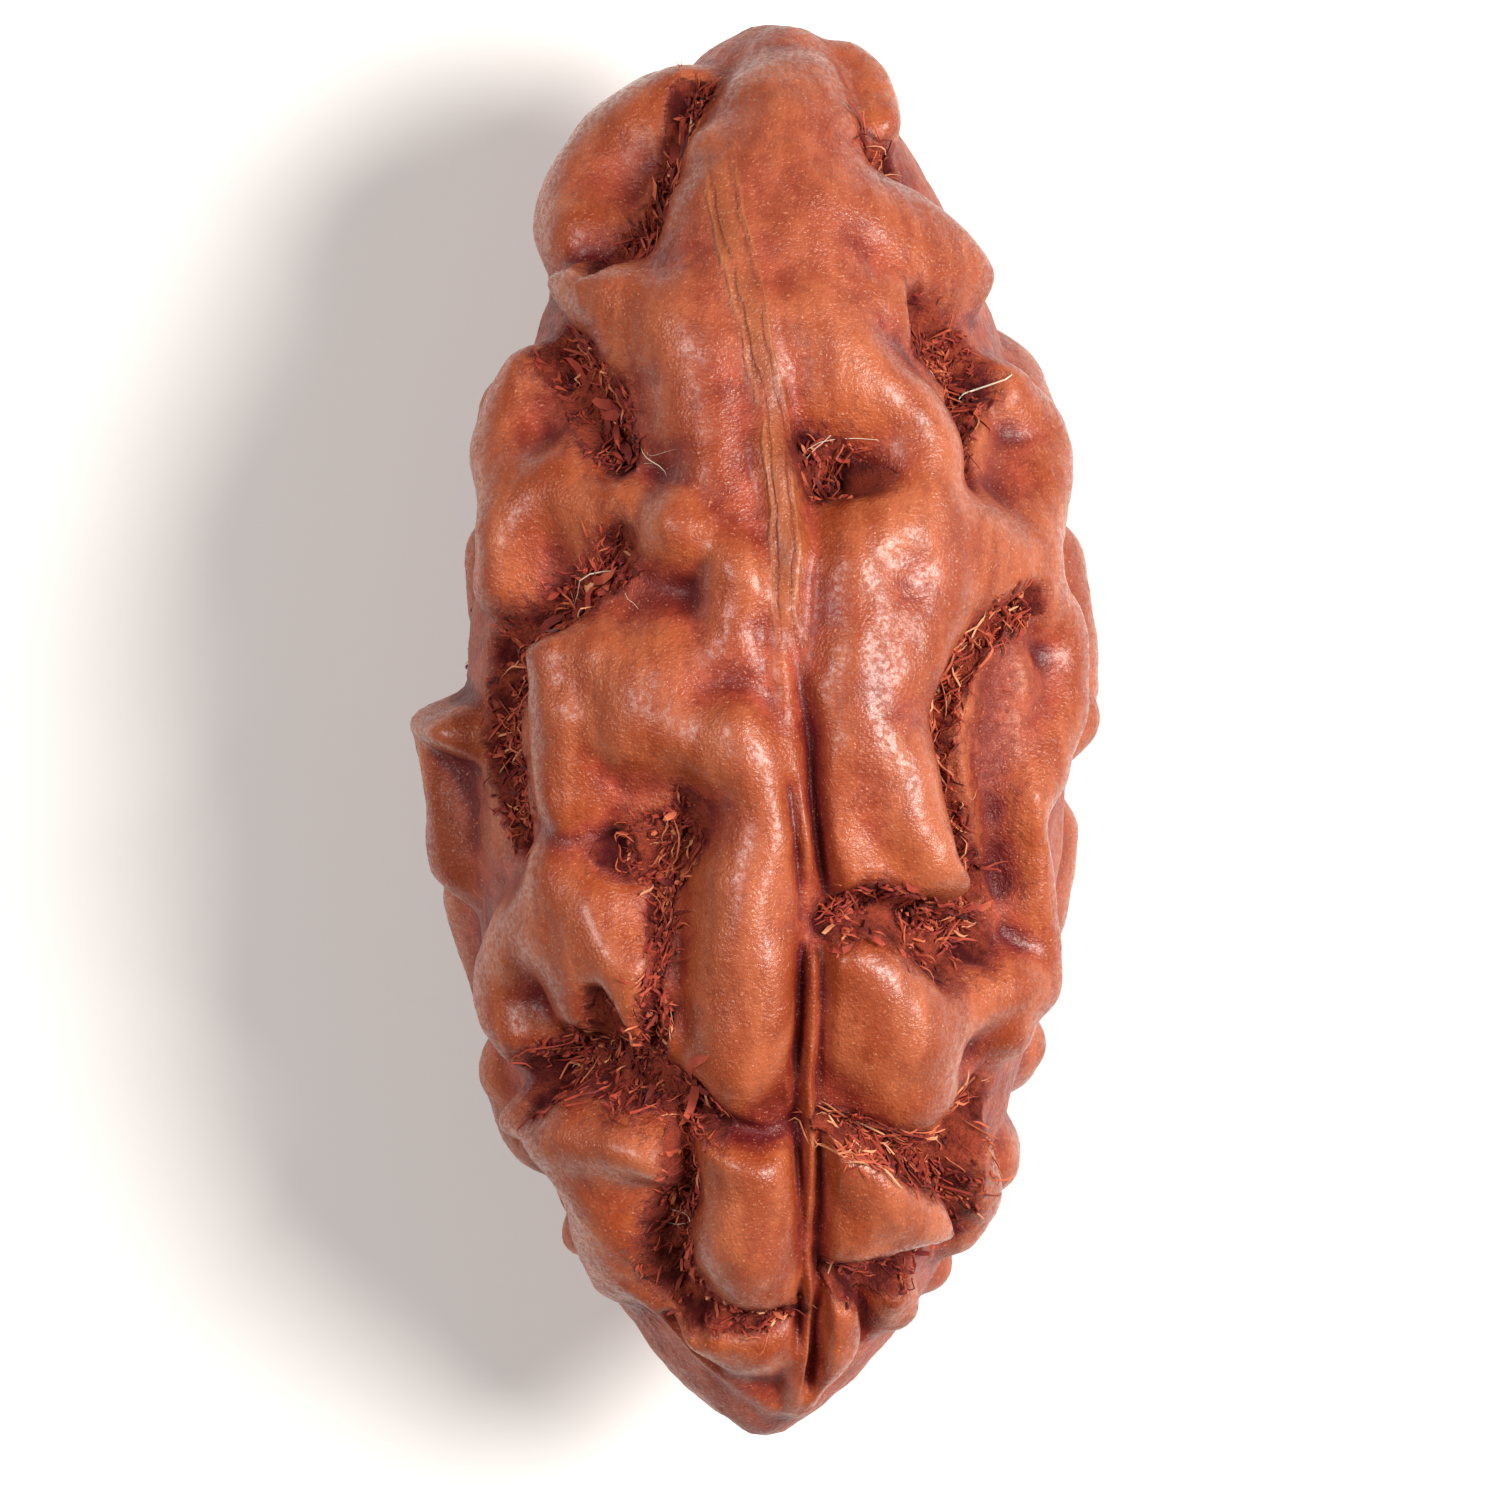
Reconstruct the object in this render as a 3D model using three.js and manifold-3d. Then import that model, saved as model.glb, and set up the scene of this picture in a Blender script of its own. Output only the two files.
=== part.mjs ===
// A long, deeply ridged walnut, whole in its shell.
// It lies on its side: +Y runs along it to the blunt stem end, +Z is up, and one of the two
// seams of the shell faces up. Units are millimetres, and z = 0 is the surface it rests on.
//
// The shell starts as a smooth spindle, the level of the bottoms of its pits. Rounded lobes and
// ridges stand up from that spindle, each a crest line with a width and a height, and pits and
// seam grooves are cut back down. A few lobes underneath are worn flat, and it rests on those.

import * as THREE from 'three';
import { mergeVertices } from 'three/addons/utils/BufferGeometryUtils.js';
import Module from 'manifold-3d';

// Driving dimensions.
const STEM_END = 23.4; // from the middle to the blunt end of the spindle
const TIP_END = 23.9; // from the middle to the pointed end of the spindle
const PIT_RADIUS = 9.4; // radius of the spindle at the middle
const FLATTEN = 0.97; // thickness of the nut against its width
const WEB_HEIGHT = 1.15; // lowest level between lobes, above the spindle
const CREST_LEVEL = 2.2; // height at which the distances to crest lines are measured
const BREADTH = 1.32; // breadth of every lobe against the half-width in its table
const REST_HEIGHT = 11.2; // from the long axis down to the resting surface
const AROUND = 106; // facets round the nut
const ALONG = 50; // rings from end to end

// How lobes meet: a higher power keeps them apart, a lower one runs them together.
const MEETING_POWER = 6.5;
const CURVE_STEPS = 5; // steps of a crest line from one of its points to the next
const PROFILE_STEPS = 3000; // steps of the spindle's outline, for its arc length

// A crest line seen from above has points [x, y, half-width, height]. One round the sides or
// underneath has [degrees from the top towards +X, y, half-width, height]. In a pit, the last
// value is the level of its bottom above the spindle.
const above = (points) => ({ seenFromAbove: true, points });
const around = (points) => ({ seenFromAbove: false, points });

const LOBES = [
  // blunt head
  above([[1.4, 23.9, 2.7, 2], [1.2, 22, 3.2, 2.9], [0.9, 19.9, 3.6, 3], [0.5, 17.6, 3.7, 2.8],
    [0, 15.1, 3.6, 2.5]]),
  above([[3.2, 23.5, 1.4, 2.3], [4, 22.2, 1.5, 2.7], [4.2, 21, 1.3, 2.7]]),
  // right shoulder
  above([[2.3, 18.5, 2.8, 2.7], [4.6, 17.4, 2.6, 2.7], [6.7, 16.1, 1.9, 2.8], [7.5, 15.6, 1.2, 2.7]]),
  // round lobe behind the head, to the left
  above([[-3.7, 22.2, 2, 2.5], [-5.5, 20.9, 2.8, 3], [-6.7, 19, 2.8, 3.2], [-7, 17.3, 2.2, 3]]),
  // ridge to the left of the seam, its knuckle and its horn
  above([[-1.9, 18.1, 2.6, 2.6], [-2.3, 15.1, 2.9, 2.7], [-2.3, 12, 2.6, 2.6],
    [-1.7, 9.2, 2.2, 2.4], [-1.5, 7, 2, 2.4], [-1.2, 5.3, 1.8, 2.85], [-1.2, 3.2, 1.8, 2.4]]),
  above([[-3.2, 6.6, 1.9, 2.75]]),
  above([[-2.9, 13.6, 2.8, 2.7], [-4.8, 14.3, 2.3, 2.9], [-6.3, 14.9, 1.6, 3], [-7.1, 15.1, 1, 2.9]]),
  // lobe on the upper left edge and its web to the ridge
  above([[-9, 11.8, 1.7, 2.7], [-9.4, 9.9, 2, 3], [-9.1, 7.6, 2.2, 3.1], [-9.6, 5.3, 1.8, 2.9]]),
  above([[-8.1, 8.1, 2.2, 2.5], [-5.8, 7.6, 1.6, 2], [-3.5, 6.7, 1.8, 2.3]]),
  above([[-8.6, 12.5, 1.2, 2.5]]),
  // square block on the left, level with the middle
  above([[-7.6, 2.6, 1.6, 2.9], [-7.4, -0.4, 1.9, 2.8], [-7.2, -2.5, 1.7, 2.6]]),
  above([[-7, 2.6, 1.7, 2.8], [-4.8, 1.9, 2.2, 2.6], [-2.3, 1.9, 2, 2.4], [-0.5, 1.8, 1.7, 2.3]]),
  above([[-6.3, 0.4, 2.2, 2.7], [-4, 0.2, 2.5, 2.8], [-2.3, -0.5, 2.2, 2.7], [-1.2, -1.4, 2, 2.7]]),
  // long ridge to the left of the seam, lower half
  above([[-0.6, -0.5, 1.9, 3], [-0.4, -3.5, 1.9, 2.8], [-0.5, -6.3, 2.1, 3], [-0.9, -9.5, 2.5, 3],
    [-1.1, -11.7, 2.4, 2.7]]),
  // bean, edge lobe and bead on the lower left
  above([[-7.4, -5.6, 2.3, 2.8], [-6.4, -6.9, 2.5, 2.9], [-5.3, -8.6, 2.1, 2.9],
    [-4.8, -10.3, 1.5, 2.6]]),
  above([[-9.3, -7.4, 1.9, 2.5], [-9.6, -9.5, 2, 2.7], [-8.9, -11.1, 1.8, 2.7]]),
  above([[-8.5, -6.7, 2, 2.6], [-7.4, -8.3, 2.1, 2.7], [-6.9, -9.9, 1.7, 2.4]]),
  above([[-3.6, -11.3, 1.2, 2]]),
  // four lobes on the left of the tip
  above([[-8.6, -14.1, 1.2, 3], [-6.6, -14.5, 1.6, 3.3], [-4.3, -15.2, 1.4, 3.1]]),
  above([[-6.8, -15.1, 2.1, 3.1], [-6, -16.5, 2.5, 3], [-6, -18.2, 2.4, 2.6], [-6.4, -19.7, 1.6, 2]]),
  above([[-0.8, -15.4, 2.3, 2.9], [-0.7, -17.4, 2.4, 3], [-0.3, -19.5, 2, 2.8],
    [0.1, -20.5, 1.5, 2.3]]),
  above([[-2.3, -21.5, 1.7, 2.3], [-0.5, -22.3, 1.9, 2.3], [0.5, -22.5, 1.2, 2]]),
  above([[-5.3, -19.7, 1.1, 1.8], [-3.5, -21.4, 1.1, 1.6], [-1.4, -23.3, 1.1, 1.5],
    [0.4, -24.5, 1, 1.4]]),
  // hooked ridge to the right of the seam, upper half
  above([[1.8, 16.2, 2.8, 2.6], [2.1, 13.4, 2.6, 2.9], [3.8, 11.8, 2.3, 2.8],
    [5.6, 10.2, 2.2, 2.9], [5.6, 8.1, 1.8, 2.8], [4.4, 6.5, 1.8, 2.7]]),
  above([[4, 15.1, 2.4, 2.5]]),
  // plateau and edge lobe on the right
  above([[3.3, 6, 2.2, 2.7], [6.2, 6.5, 2.6, 2.8], [8.6, 5.6, 2.4, 2.7], [10.4, 4.2, 1.9, 2.6]]),
  above([[9, 11.8, 1.6, 2.5], [9.9, 10.2, 1.9, 2.8], [10, 8.1, 2.1, 2.8], [9.7, 6.3, 2.1, 2.7]]),
  // broad lobe on the right, level with the middle, with its small horn
  above([[3.3, 4.6, 2.6, 2.8], [3.6, 1.8, 2.7, 2.9], [4, -0.7, 2.5, 2.9], [4.7, -3, 2, 3.1],
    [5.9, -4.5, 1.5, 3.2], [6.9, -5, 1, 3.1]]),
  above([[2.5, -1.1, 1.3, 2.4], [2.8, -4, 1.7, 2.3], [4, -5.4, 1.7, 2.3], [5.6, -5.4, 1.3, 2.4]]),
  above([[5.8, 4.2, 2.4, 2.7], [5.3, 1.8, 2, 2.7]]),
  above([[9, 1.4, 2.3, 1.9], [8.6, -1.2, 2.2, 1.8], [8.8, -3.9, 1.9, 1.8]]),
  // ridge along the right edge
  above([[10.7, 3.2, 1.9, 2.6], [10.6, 1.1, 1.8, 2.7], [10.2, -1.1, 1.8, 2.7],
    [9.5, -3.5, 1.6, 2.6], [9.7, -5.6, 1.6, 2.5], [9.9, -7.4, 1.8, 2.5]]),
  around([[80, 0, 1.8, 2.5]]),
  // large round lobe below the middle and its arm to the right edge
  above([[3, -8.4, 1.8, 2.8], [4, -9.6, 2.6, 3], [5.2, -11.1, 3, 3.1], [5.5, -12.5, 2.4, 2.8]]),
  above([[5.3, -10.9, 2.4, 2.6], [7.6, -10.1, 1.8, 2.4], [9.6, -9, 1.8, 2.9]]),
  above([[9, -10.9, 1.6, 2.5]]),
  // lobes on the right of the tip
  above([[2.9, -15.6, 1.8, 2.8], [4, -16.1, 2.3, 3.1], [5.4, -17, 1.9, 3.1], [6.4, -17.6, 1.2, 3]]),
  above([[3.3, -18, 1.7, 2.6], [5.1, -18.5, 1.4, 2.5]]),
  above([[7.3, -15.3, 1.8, 2.4], [7.9, -16.7, 1.9, 2.5], [7.5, -18.1, 1.5, 2.2]]),
  above([[2.6, -20.6, 1.5, 2.4], [2.5, -22.2, 1.6, 2.3], [2.1, -23.6, 1.3, 2], [1.6, -24.6, 1, 1.6]]),
  above([[4.4, -20.1, 1.4, 2.3], [4.9, -21, 1.3, 2.2]]),
  // angular lobe on the left edge
  around([[-72, -0.3, 1, 3.1], [-88, -0.35, 1.1, 3.2], [-86, -2.4, 1.3, 2.8], [-86, -5, 1.9, 2.8]]),
  // strip beside the seam
  above([[-1.8, 20.1, 1.5, 2.5], [-1.3, 17.3, 1.5, 2.5], [-0.5, 13.7, 1.4, 2.5],
    [0.2, 10.6, 1.3, 2.4], [0.6, 7.4, 1.2, 2.4], [0.6, 3.9, 1.1, 2.3], [0.9, 1.1, 0.8, 2.2],
    [1.1, -2.1, 0.8, 2.2], [1.3, -6, 0.8, 2.1]]),
  above([[1.6, -8.1, 0.7, 2.1], [1.6, -14.1, 0.7, 2.1], [1.6, -21.8, 0.7, 2], [1.1, -24.5, 0.7, 1.5]]),
  // underside, right half
  around([[122, 17, 2, 2.4], [132, 18.5, 2.2, 2.7], [144, 17, 2, 2.6]]),
  around([[168, 21.5, 2.4, 2.4], [165, 17.5, 2.6, 2.8], [160, 13, 2.4, 2.7], [163, 9, 2.2, 2.7]]),
  around([[96, 11, 1.9, 2.6], [112, 12.5, 2.1, 2.7], [128, 11.5, 2, 2.7], [140, 8, 2, 2.7]]),
  around([[99, 1.5, 2, 2.6], [105, 6, 2.1, 2.6]]),
  around([[120, 5.5, 2, 2.7], [124, 1.5, 2.2, 2.8], [140, 0.5, 2, 2.6], [156, 3, 2.1, 2.7]]),
  around([[164, 5, 2.1, 2.7], [166, -0.5, 2.3, 2.8], [160, -5, 2.2, 2.8], [164, -8.5, 2, 2.6]]),
  around([[112, -3.5, 1.9, 2.5], [116, -7, 2.1, 2.7], [128, -6, 2, 2.6]]),
  around([[140, -4.5, 1.7, 2.5], [138, -8.5, 2, 2.7], [146, -12, 2, 2.7], [158, -12.5, 1.8, 2.5]]),
  around([[108, -11.5, 1.7, 2.4], [118, -12, 1.9, 2.6], [128, -11, 1.7, 2.5]]),
  around([[96, -16, 1.7, 2.4], [116, -15.5, 1.9, 2.6], [130, -16.5, 1.6, 2.4]]),
  around([[164, -15.5, 1.8, 2.6], [162, -19, 1.6, 2.3], [168, -21.5, 1.1, 1.8]]),
  around([[110, -19.5, 1.3, 2.1], [132, -20.5, 1.3, 2]]),
  // underside, left half
  around([[-118, 16, 2, 2.5], [-128, 15, 2.2, 2.7], [-138, 16.5, 2, 2.7]]),
  around([[-160, 20.5, 2.2, 2.6], [-162, 16, 2.4, 2.7], [-156, 11.5, 2.3, 2.8], [-162, 7.5, 2.1, 2.6]]),
  around([[-98, 11.5, 1.6, 2.5], [-112, 9.5, 2.1, 2.7], [-128, 10.5, 2, 2.7], [-140, 13.5, 1.8, 2.5]]),
  around([[-112, 6.5, 1.9, 2.5], [-120, 4, 2.1, 2.7], [-134, 5, 2.1, 2.7], [-145, 3, 1.9, 2.6]]),
  around([[-106, -0.5, 2, 2.6], [-122, -1.5, 2.1, 2.7], [-130, -5, 1.9, 2.7]]),
  around([[-163, 2.5, 2.2, 2.8], [-160, -2.5, 2.2, 2.7], [-150, -6.5, 2.1, 2.8],
    [-158, -10.5, 2.1, 2.6]]),
  around([[-104, -6, 2.1, 2.7], [-112, -9.5, 2.1, 2.7], [-128, -10, 1.9, 2.5]]),
  around([[-96, -12.5, 1.8, 2.5], [-108, -14.5, 1.9, 2.6], [-126, -14, 1.9, 2.7],
    [-140, -12.5, 1.7, 2.5]]),
  around([[-160, -14.5, 2, 2.7], [-158, -18, 1.7, 2.5], [-164, -21, 1.2, 2]]),
  around([[-112, -18.5, 1.5, 2.3], [-134, -18, 1.5, 2.3]]),
  around([[-128, 21, 1.7, 2.4]]),
];

// Pits and the valleys between lobes.
const PITS = [
  above([[-2.6, 22.5, 0.5, 1.2], [-3.3, 20.8, 0.6, 0.8], [-4, 19, 0.8, 0.4], [-5, 17.4, 0.9, 0.1],
    [-5.9, 16, 0.8, 0.3]]),
  above([[5.2, 14.9, 0.7, 0.6], [6.7, 13.7, 1, 0.1], [8, 12.2, 1.1, 0]]),
  above([[8.1, 12.1, 0.9, 0], [7.7, 10.6, 0.7, -0.3], [7.5, 8.8, 0.6, 0.2]]),
  above([[1.7, 9.8, 0.7, 0.6], [2.4, 9, 1.1, -0.5], [3.6, 8.5, 0.9, -1.6]]),
  above([[-7.9, 13.5, 0.9, 0.3], [-6.7, 11.4, 1.3, -0.2], [-5.5, 9.4, 0.9, 0.3]]),
  above([[-5.5, 6.1, 0.8, 0.7], [-6.9, 4.9, 1.2, 0.1], [-8.7, 3.5, 1.2, -0.3],
    [-9.9, 1.6, 1.4, -0.3], [-10, -1.1, 1.3, -0.1], [-9.4, -3.7, 0.9, 0.2]]),
  above([[-9.8, 1.4, 1.2, -0.2], [-10.3, 2.8, 1, -0.2]]),
  above([[-5.6, -4.3, 0.7, 0.6], [-4.5, -4.6, 1.1, 0], [-3.5, -4.4, 1.1, -0.5], [-3.2, -3, 0.6, 0.4]]),
  above([[-3.5, -5.5, 0.8, 0.3], [-3.8, -7, 0.5, 0.8], [-4, -9.2, 0.4, 1.2], [-4, -11.6, 0.6, 0.6]]),
  above([[-8.3, -12.6, 1.1, -0.2], [-6.3, -12.1, 1.4, -0.4], [-4, -13, 1.1, 0],
    [-1.9, -13.9, 0.7, 0.4]]),
  above([[-5.5, -11.6, 1, 0], [-6, -9.9, 0.8, 0.4]]),
  above([[-1.9, -13.9, 0.6, 0.7], [1.2, -14.3, 0.5, 0.6]]),
  above([[-3.3, -14.6, 0.5, 0.6], [-3.2, -16.4, 0.6, 0.3], [-3.5, -18, 0.9, 0],
    [-3.7, -19.5, 1.1, -0.1], [-2.8, -20.7, 0.8, 0.3]]),
  above([[-2.3, -20.8, 0.7, 0.5], [-0.5, -21.2, 0.4, 1.1], [1.1, -21, 0.4, 1.1]]),
  above([[-4, -21.1, 0.5, 0.6], [-1.9, -22.9, 0.4, 0.9], [0.1, -23.8, 0.4, 0.9]]),
  above([[9.3, 4.2, 0.6, 1.1], [7.9, 2.7, 0.8, 0.3], [6.8, 0.9, 0.8, -0.2], [6.6, -1.4, 0.7, -0.2],
    [7.1, -3.7, 0.8, -0.2], [7.9, -5.6, 1, -0.1]]),
  above([[2.6, -6.8, 0.8, 0.4], [4.6, -7, 1.1, 0], [6.9, -7.6, 1.4, -0.2], [7.9, -8, 0.9, 0.1]]),
  above([[2, -14.2, 0.4, 0.8], [4, -14.7, 0.7, 0.4], [6.2, -15.4, 0.9, 0], [8.1, -13.7, 0.9, 0.3]]),
  above([[6.5, -15.3, 0.9, 0.2], [6.9, -18.1, 0.7, 0.4]]),
  above([[2.8, -19.5, 0.8, 0.3], [4.4, -19.2, 0.9, 0.2], [6.1, -18.7, 0.8, 0.4]]),
  above([[3.6, -20.1, 0.5, 0.7], [3.8, -21.9, 0.4, 0.9]]),
  // underside and flanks
  around([[150, 11, 0.8, 0.5], [151, 5.5, 0.9, 0.3], [147, -1.8, 0.9, 0.4]]),
  around([[-146, 9, 0.8, 0.5], [-148, 1.5, 0.9, 0.3], [-141, -2.8, 0.9, 0.4]]),
  around([[-96, 3.2, 0.7, 0.6], [-112, 1.8, 0.9, 0.4]]),
  around([[148, -15, 0.8, 0.5], [124, -14, 0.8, 0.5]]),
  around([[-146, -15, 0.8, 0.5], [-118, -12.2, 0.8, 0.5]]),
  // head groove
  above([[2, 23.5, 0.22, 2], [2.7, 22.5, 0.26, 1.8], [3.2, 21.3, 0.28, 1.7],
    [3.7, 20.4, 0.42, 1.2], [4.8, 19.7, 0.75, 0.4]]),
  // broad shallow hollow
  above([[9, 3.3, 1, 1.5], [8.4, 1.4, 1.3, 1.1], [8.2, -1.1, 1.4, 1], [8.6, -3.7, 1.4, 0.9],
    [8.7, -5.8, 1.2, 0.6]]),
];

// The grooves beside the fin of the upper seam, and the lower seam.
const SEAM_GROOVES = [
  above([[0.8, 3.2, 0.3, 2], [1.2, 1.4, 0.3, 1.6], [1.6, -0.4, 0.32, 1.1], [1.7, -2.5, 0.34, 0.9],
    [2, -4.6, 0.36, 0.6], [2.4, -6.2, 0.4, 0.4]]),
  above([[0.8, -2.1, 0.2, 1.8], [1.1, -4.6, 0.22, 1.4], [1.3, -7, 0.22, 1.2]]),
  above([[1.3, -7.9, 0.3, 1], [1.2, -11.3, 0.34, 0.7], [1.2, -14.4, 0.36, 0.7],
    [1.3, -21.8, 0.34, 0.9]]),
  above([[2, -7.4, 0.3, 1.3], [2, -14.1, 0.34, 1], [2, -19.7, 0.36, 0.9], [1.7, -23.6, 0.36, 0.9]]),
  // back seam
  around([[180, 19, 0.4, 1.6], [181, 8, 0.5, 1.4], [179, -6, 0.5, 1.2], [180, -20, 0.5, 0.9]]),
];

// The spindle: its radius at each distance along the axis, with rounded ends on the axis.
function spindle(turn) {
  const along = Math.sin(turn);
  const reach = Math.abs(along);
  const taper = along > 0
    ? Math.max(0, 1 - reach ** 1.8) ** 0.66
    : Math.max(0, 1 - reach ** 2.1) ** 0.72;
  const isEnd = reach > 1 - 1e-9;
  return { y: along * (along > 0 ? STEM_END : TIP_END), r: isEnd ? 0 : PIT_RADIUS * taper };
}

// The spindle's outline by arc length, with its outward normal, from the tip to the stem end.
function measureOutline() {
  const rows = [];
  for (let i = 0; i <= PROFILE_STEPS; i += 1) {
    const { y, r } = spindle((i / PROFILE_STEPS - 0.5) * Math.PI);
    const last = rows[i - 1];
    const arc = last ? last.arc + Math.hypot(y - last.y, r - last.r) : 0;
    rows.push({ y, r, arc });
  }
  rows.forEach((row, i) => {
    const before = rows[Math.max(0, i - 1)];
    const after = rows[Math.min(PROFILE_STEPS, i + 1)];
    const length = Math.hypot(after.y - before.y, after.r - before.r);
    row.normalR = (after.y - before.y) / length;
    row.normalY = -(after.r - before.r) / length;
    row.crestY = row.y + CREST_LEVEL * row.normalY;
    row.crestR = row.r + CREST_LEVEL * row.normalR;
  });
  return rows;
}

const outline = measureOutline();

// The row of the outline where one of its columns, which only grows, reaches a value.
function outlineAt(column, value) {
  let low = 0;
  let high = PROFILE_STEPS;
  while (high - low > 1) {
    const middle = Math.floor((low + high) / 2);
    if (outline[middle][column] <= value) low = middle;
    else high = middle;
  }
  const a = outline[low];
  const b = outline[high];
  const span = b[column] - a[column];
  const t = span > 0 ? THREE.MathUtils.clamp((value - a[column]) / span, 0, 1) : 0;
  const blend = (name) => a[name] + (b[name] - a[name]) * t;
  return {
    y: blend('y'),
    r: blend('r'),
    normalY: blend('normalY'),
    normalR: blend('normalR'),
    crestY: blend('crestY'),
    crestR: blend('crestR'),
  };
}

// The crest level's point at a row of the outline and an angle round the nut.
function crestPoint(row, angle) {
  return [row.crestR * Math.sin(angle), row.crestY, row.crestR * Math.cos(angle)];
}

// A crest line's points in space, with their half-widths and heights, on one smooth curve.
function layOut({ seenFromAbove, points }) {
  const rows = points.map(([side, y, halfWidth, height]) => {
    const row = outlineAt('crestY', y);
    const angle = seenFromAbove
      ? Math.asin(THREE.MathUtils.clamp(side / row.crestR, -1, 1))
      : THREE.MathUtils.degToRad(side);
    return [...crestPoint(row, angle), halfWidth, height];
  });
  if (rows.length < 3) return rows;
  const mirrored = (end, next) => end.map((value, k) => 2 * value - next[k]);
  const first = mirrored(rows[0], rows[1]);
  const last = mirrored(rows[rows.length - 1], rows[rows.length - 2]);
  const knots = [first, ...rows, last];
  const curve = [];
  for (let i = 1; i < knots.length - 2; i += 1) {
    const [a, b, c, d] = knots.slice(i - 1, i + 3);
    for (let step = 0; step < CURVE_STEPS; step += 1) {
      const t = step / CURVE_STEPS;
      curve.push(b.map((value, k) => 0.5 * (
        2 * value
        + (c[k] - a[k]) * t
        + (2 * a[k] - 5 * value + 4 * c[k] - d[k]) * t * t
        + (3 * value - a[k] - 3 * c[k] + d[k]) * t * t * t)));
    }
  }
  curve.push(rows[rows.length - 1]);
  return curve;
}

// How far a point is from a curve, as a share of the half-width there, and the height there.
function nearest(point, curve, breadth) {
  if (curve.length === 1) {
    const [x, y, z, halfWidth, height] = curve[0];
    const gap = Math.hypot(point[0] - x, point[1] - y, point[2] - z);
    return { share: gap / (halfWidth * breadth), height };
  }
  let best = { share: Infinity, height: 0 };
  for (let i = 1; i < curve.length; i += 1) {
    const a = curve[i - 1];
    const b = curve[i];
    const run = [0, 1, 2].map((k) => b[k] - a[k]);
    const offset = [0, 1, 2].map((k) => point[k] - a[k]);
    const dot = (u, v) => u[0] * v[0] + u[1] * v[1] + u[2] * v[2];
    const t = THREE.MathUtils.clamp(dot(offset, run) / Math.max(dot(run, run), 1e-9), 0, 1);
    const gap = Math.hypot(...offset.map((value, k) => value - run[k] * t));
    const share = gap / ((a[3] + (b[3] - a[3]) * t) * breadth);
    if (share < best.share) best = { share, height: a[4] + (b[4] - a[4]) * t };
  }
  return best;
}

// A gentle, irregular shift, so that no lobe keeps a drawn outline.
function wander([x, y, z]) {
  const { sin } = Math;
  return [
    x + 0.24 * sin(0.83 * y + 0.6 * z + 0.3) + 0.07 * sin(1.9 * y - 1.4 * x + 1.9),
    y + 0.24 * sin(0.87 * x - 0.7 * z + 2.1) + 0.07 * sin(1.8 * x + 1.6 * z + 0.4),
    z + 0.24 * sin(0.91 * x + 0.6 * y + 4.0) + 0.07 * sin(1.9 * y + 1.5 * x + 2.7),
  ];
}

// Slow rises and falls of the surface, between -1 and 1.
function swell([x, y, z]) {
  const { sin } = Math;
  const first = sin(1.6 * x + 0.9 * y + 0.5) * sin(1.4 * y - 0.8 * z + 1.1);
  const second = sin(1.5 * z + 1.1 * x + 2.0) * sin(1.2 * y + 0.4);
  return (first + second) / 2;
}

const lobes = LOBES.map(layOut);
const pits = PITS.map(layOut);
const grooves = SEAM_GROOVES.map(layOut);

// The height of the shell above the spindle, over a point of the crest level.
function relief(point) {
  const shifted = wander(point);
  let sum = WEB_HEIGHT ** MEETING_POWER;
  for (const curve of lobes) {
    const { share, height } = nearest(shifted, curve, BREADTH);
    if (share < 1) sum += (height * (1 - share ** 2.15) ** 1.05) ** MEETING_POWER;
  }
  let level = sum ** (1 / MEETING_POWER) + 0.1 * swell(shifted);
  for (const curve of pits) {
    const { share, height } = nearest(shifted, curve, 1);
    if (share < 1) level += Math.min(height - level, 0) * (1 - share ** 2.4) ** 1.3;
  }
  for (const curve of grooves) {
    const { share, height } = nearest(point, curve, 1);
    if (share < 1) level += (height - level) * (1 - share ** 2) * 0.8;
  }
  return level;
}

// The spindle turned round its axis, with every shared corner merged and then moved out.
function makeRidgedShell() {
  const profile = [];
  for (let i = 0; i <= ALONG; i += 1) {
    const row = outlineAt('arc', outline[PROFILE_STEPS].arc * (i / ALONG));
    profile.push(new THREE.Vector2(i === 0 || i === ALONG ? 0 : row.r, row.y));
  }
  const lathe = new THREE.LatheGeometry(profile, AROUND);
  lathe.deleteAttribute('uv');
  lathe.deleteAttribute('normal');
  const geometry = mergeVertices(lathe, 1e-4);
  const corners = geometry.getAttribute('position');
  for (let i = 0; i < corners.count; i += 1) {
    const angle = Math.atan2(corners.getX(i), corners.getZ(i));
    const row = outlineAt('y', corners.getY(i));
    const height = relief(crestPoint(row, angle));
    const radius = row.r + height * row.normalR;
    corners.setXYZ(
      i,
      radius * Math.sin(angle),
      row.y + height * row.normalY,
      radius * Math.cos(angle) * FLATTEN,
    );
  }
  return geometry;
}

const wasm = await Module();
wasm.setup();

function toSolid(geometry) {
  return new wasm.Manifold(new wasm.Mesh({
    numProp: 3,
    vertProperties: Float32Array.from(geometry.getAttribute('position').array),
    triVerts: Uint32Array.from(geometry.getIndex().array),
  }));
}

// What lies below the resting surface is taken away, which leaves the worn flats.
function wearFlats(geometry) {
  const block = new THREE.BoxGeometry(60, 80, 20);
  block.deleteAttribute('uv');
  block.deleteAttribute('normal');
  block.translate(0, 0, -REST_HEIGHT - 10);
  const mesh = toSolid(geometry).subtract(toSolid(mergeVertices(block))).getMesh();
  const worn = new THREE.BufferGeometry();
  worn.setAttribute('position', new THREE.BufferAttribute(mesh.vertProperties, 3));
  worn.setIndex(new THREE.BufferAttribute(mesh.triVerts, 1));
  return worn;
}

// The origin is under the middle of the nut, on the resting surface.
function standOnOrigin(geometry) {
  geometry.computeBoundingBox();
  const middle = geometry.boundingBox.getCenter(new THREE.Vector3());
  geometry.translate(-middle.x, -middle.y, REST_HEIGHT);
  return geometry;
}

const polishedShell = new THREE.MeshStandardMaterial({
  color: 0xae5f45,
  roughness: 0.4,
  metalness: 0,
});

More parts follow.
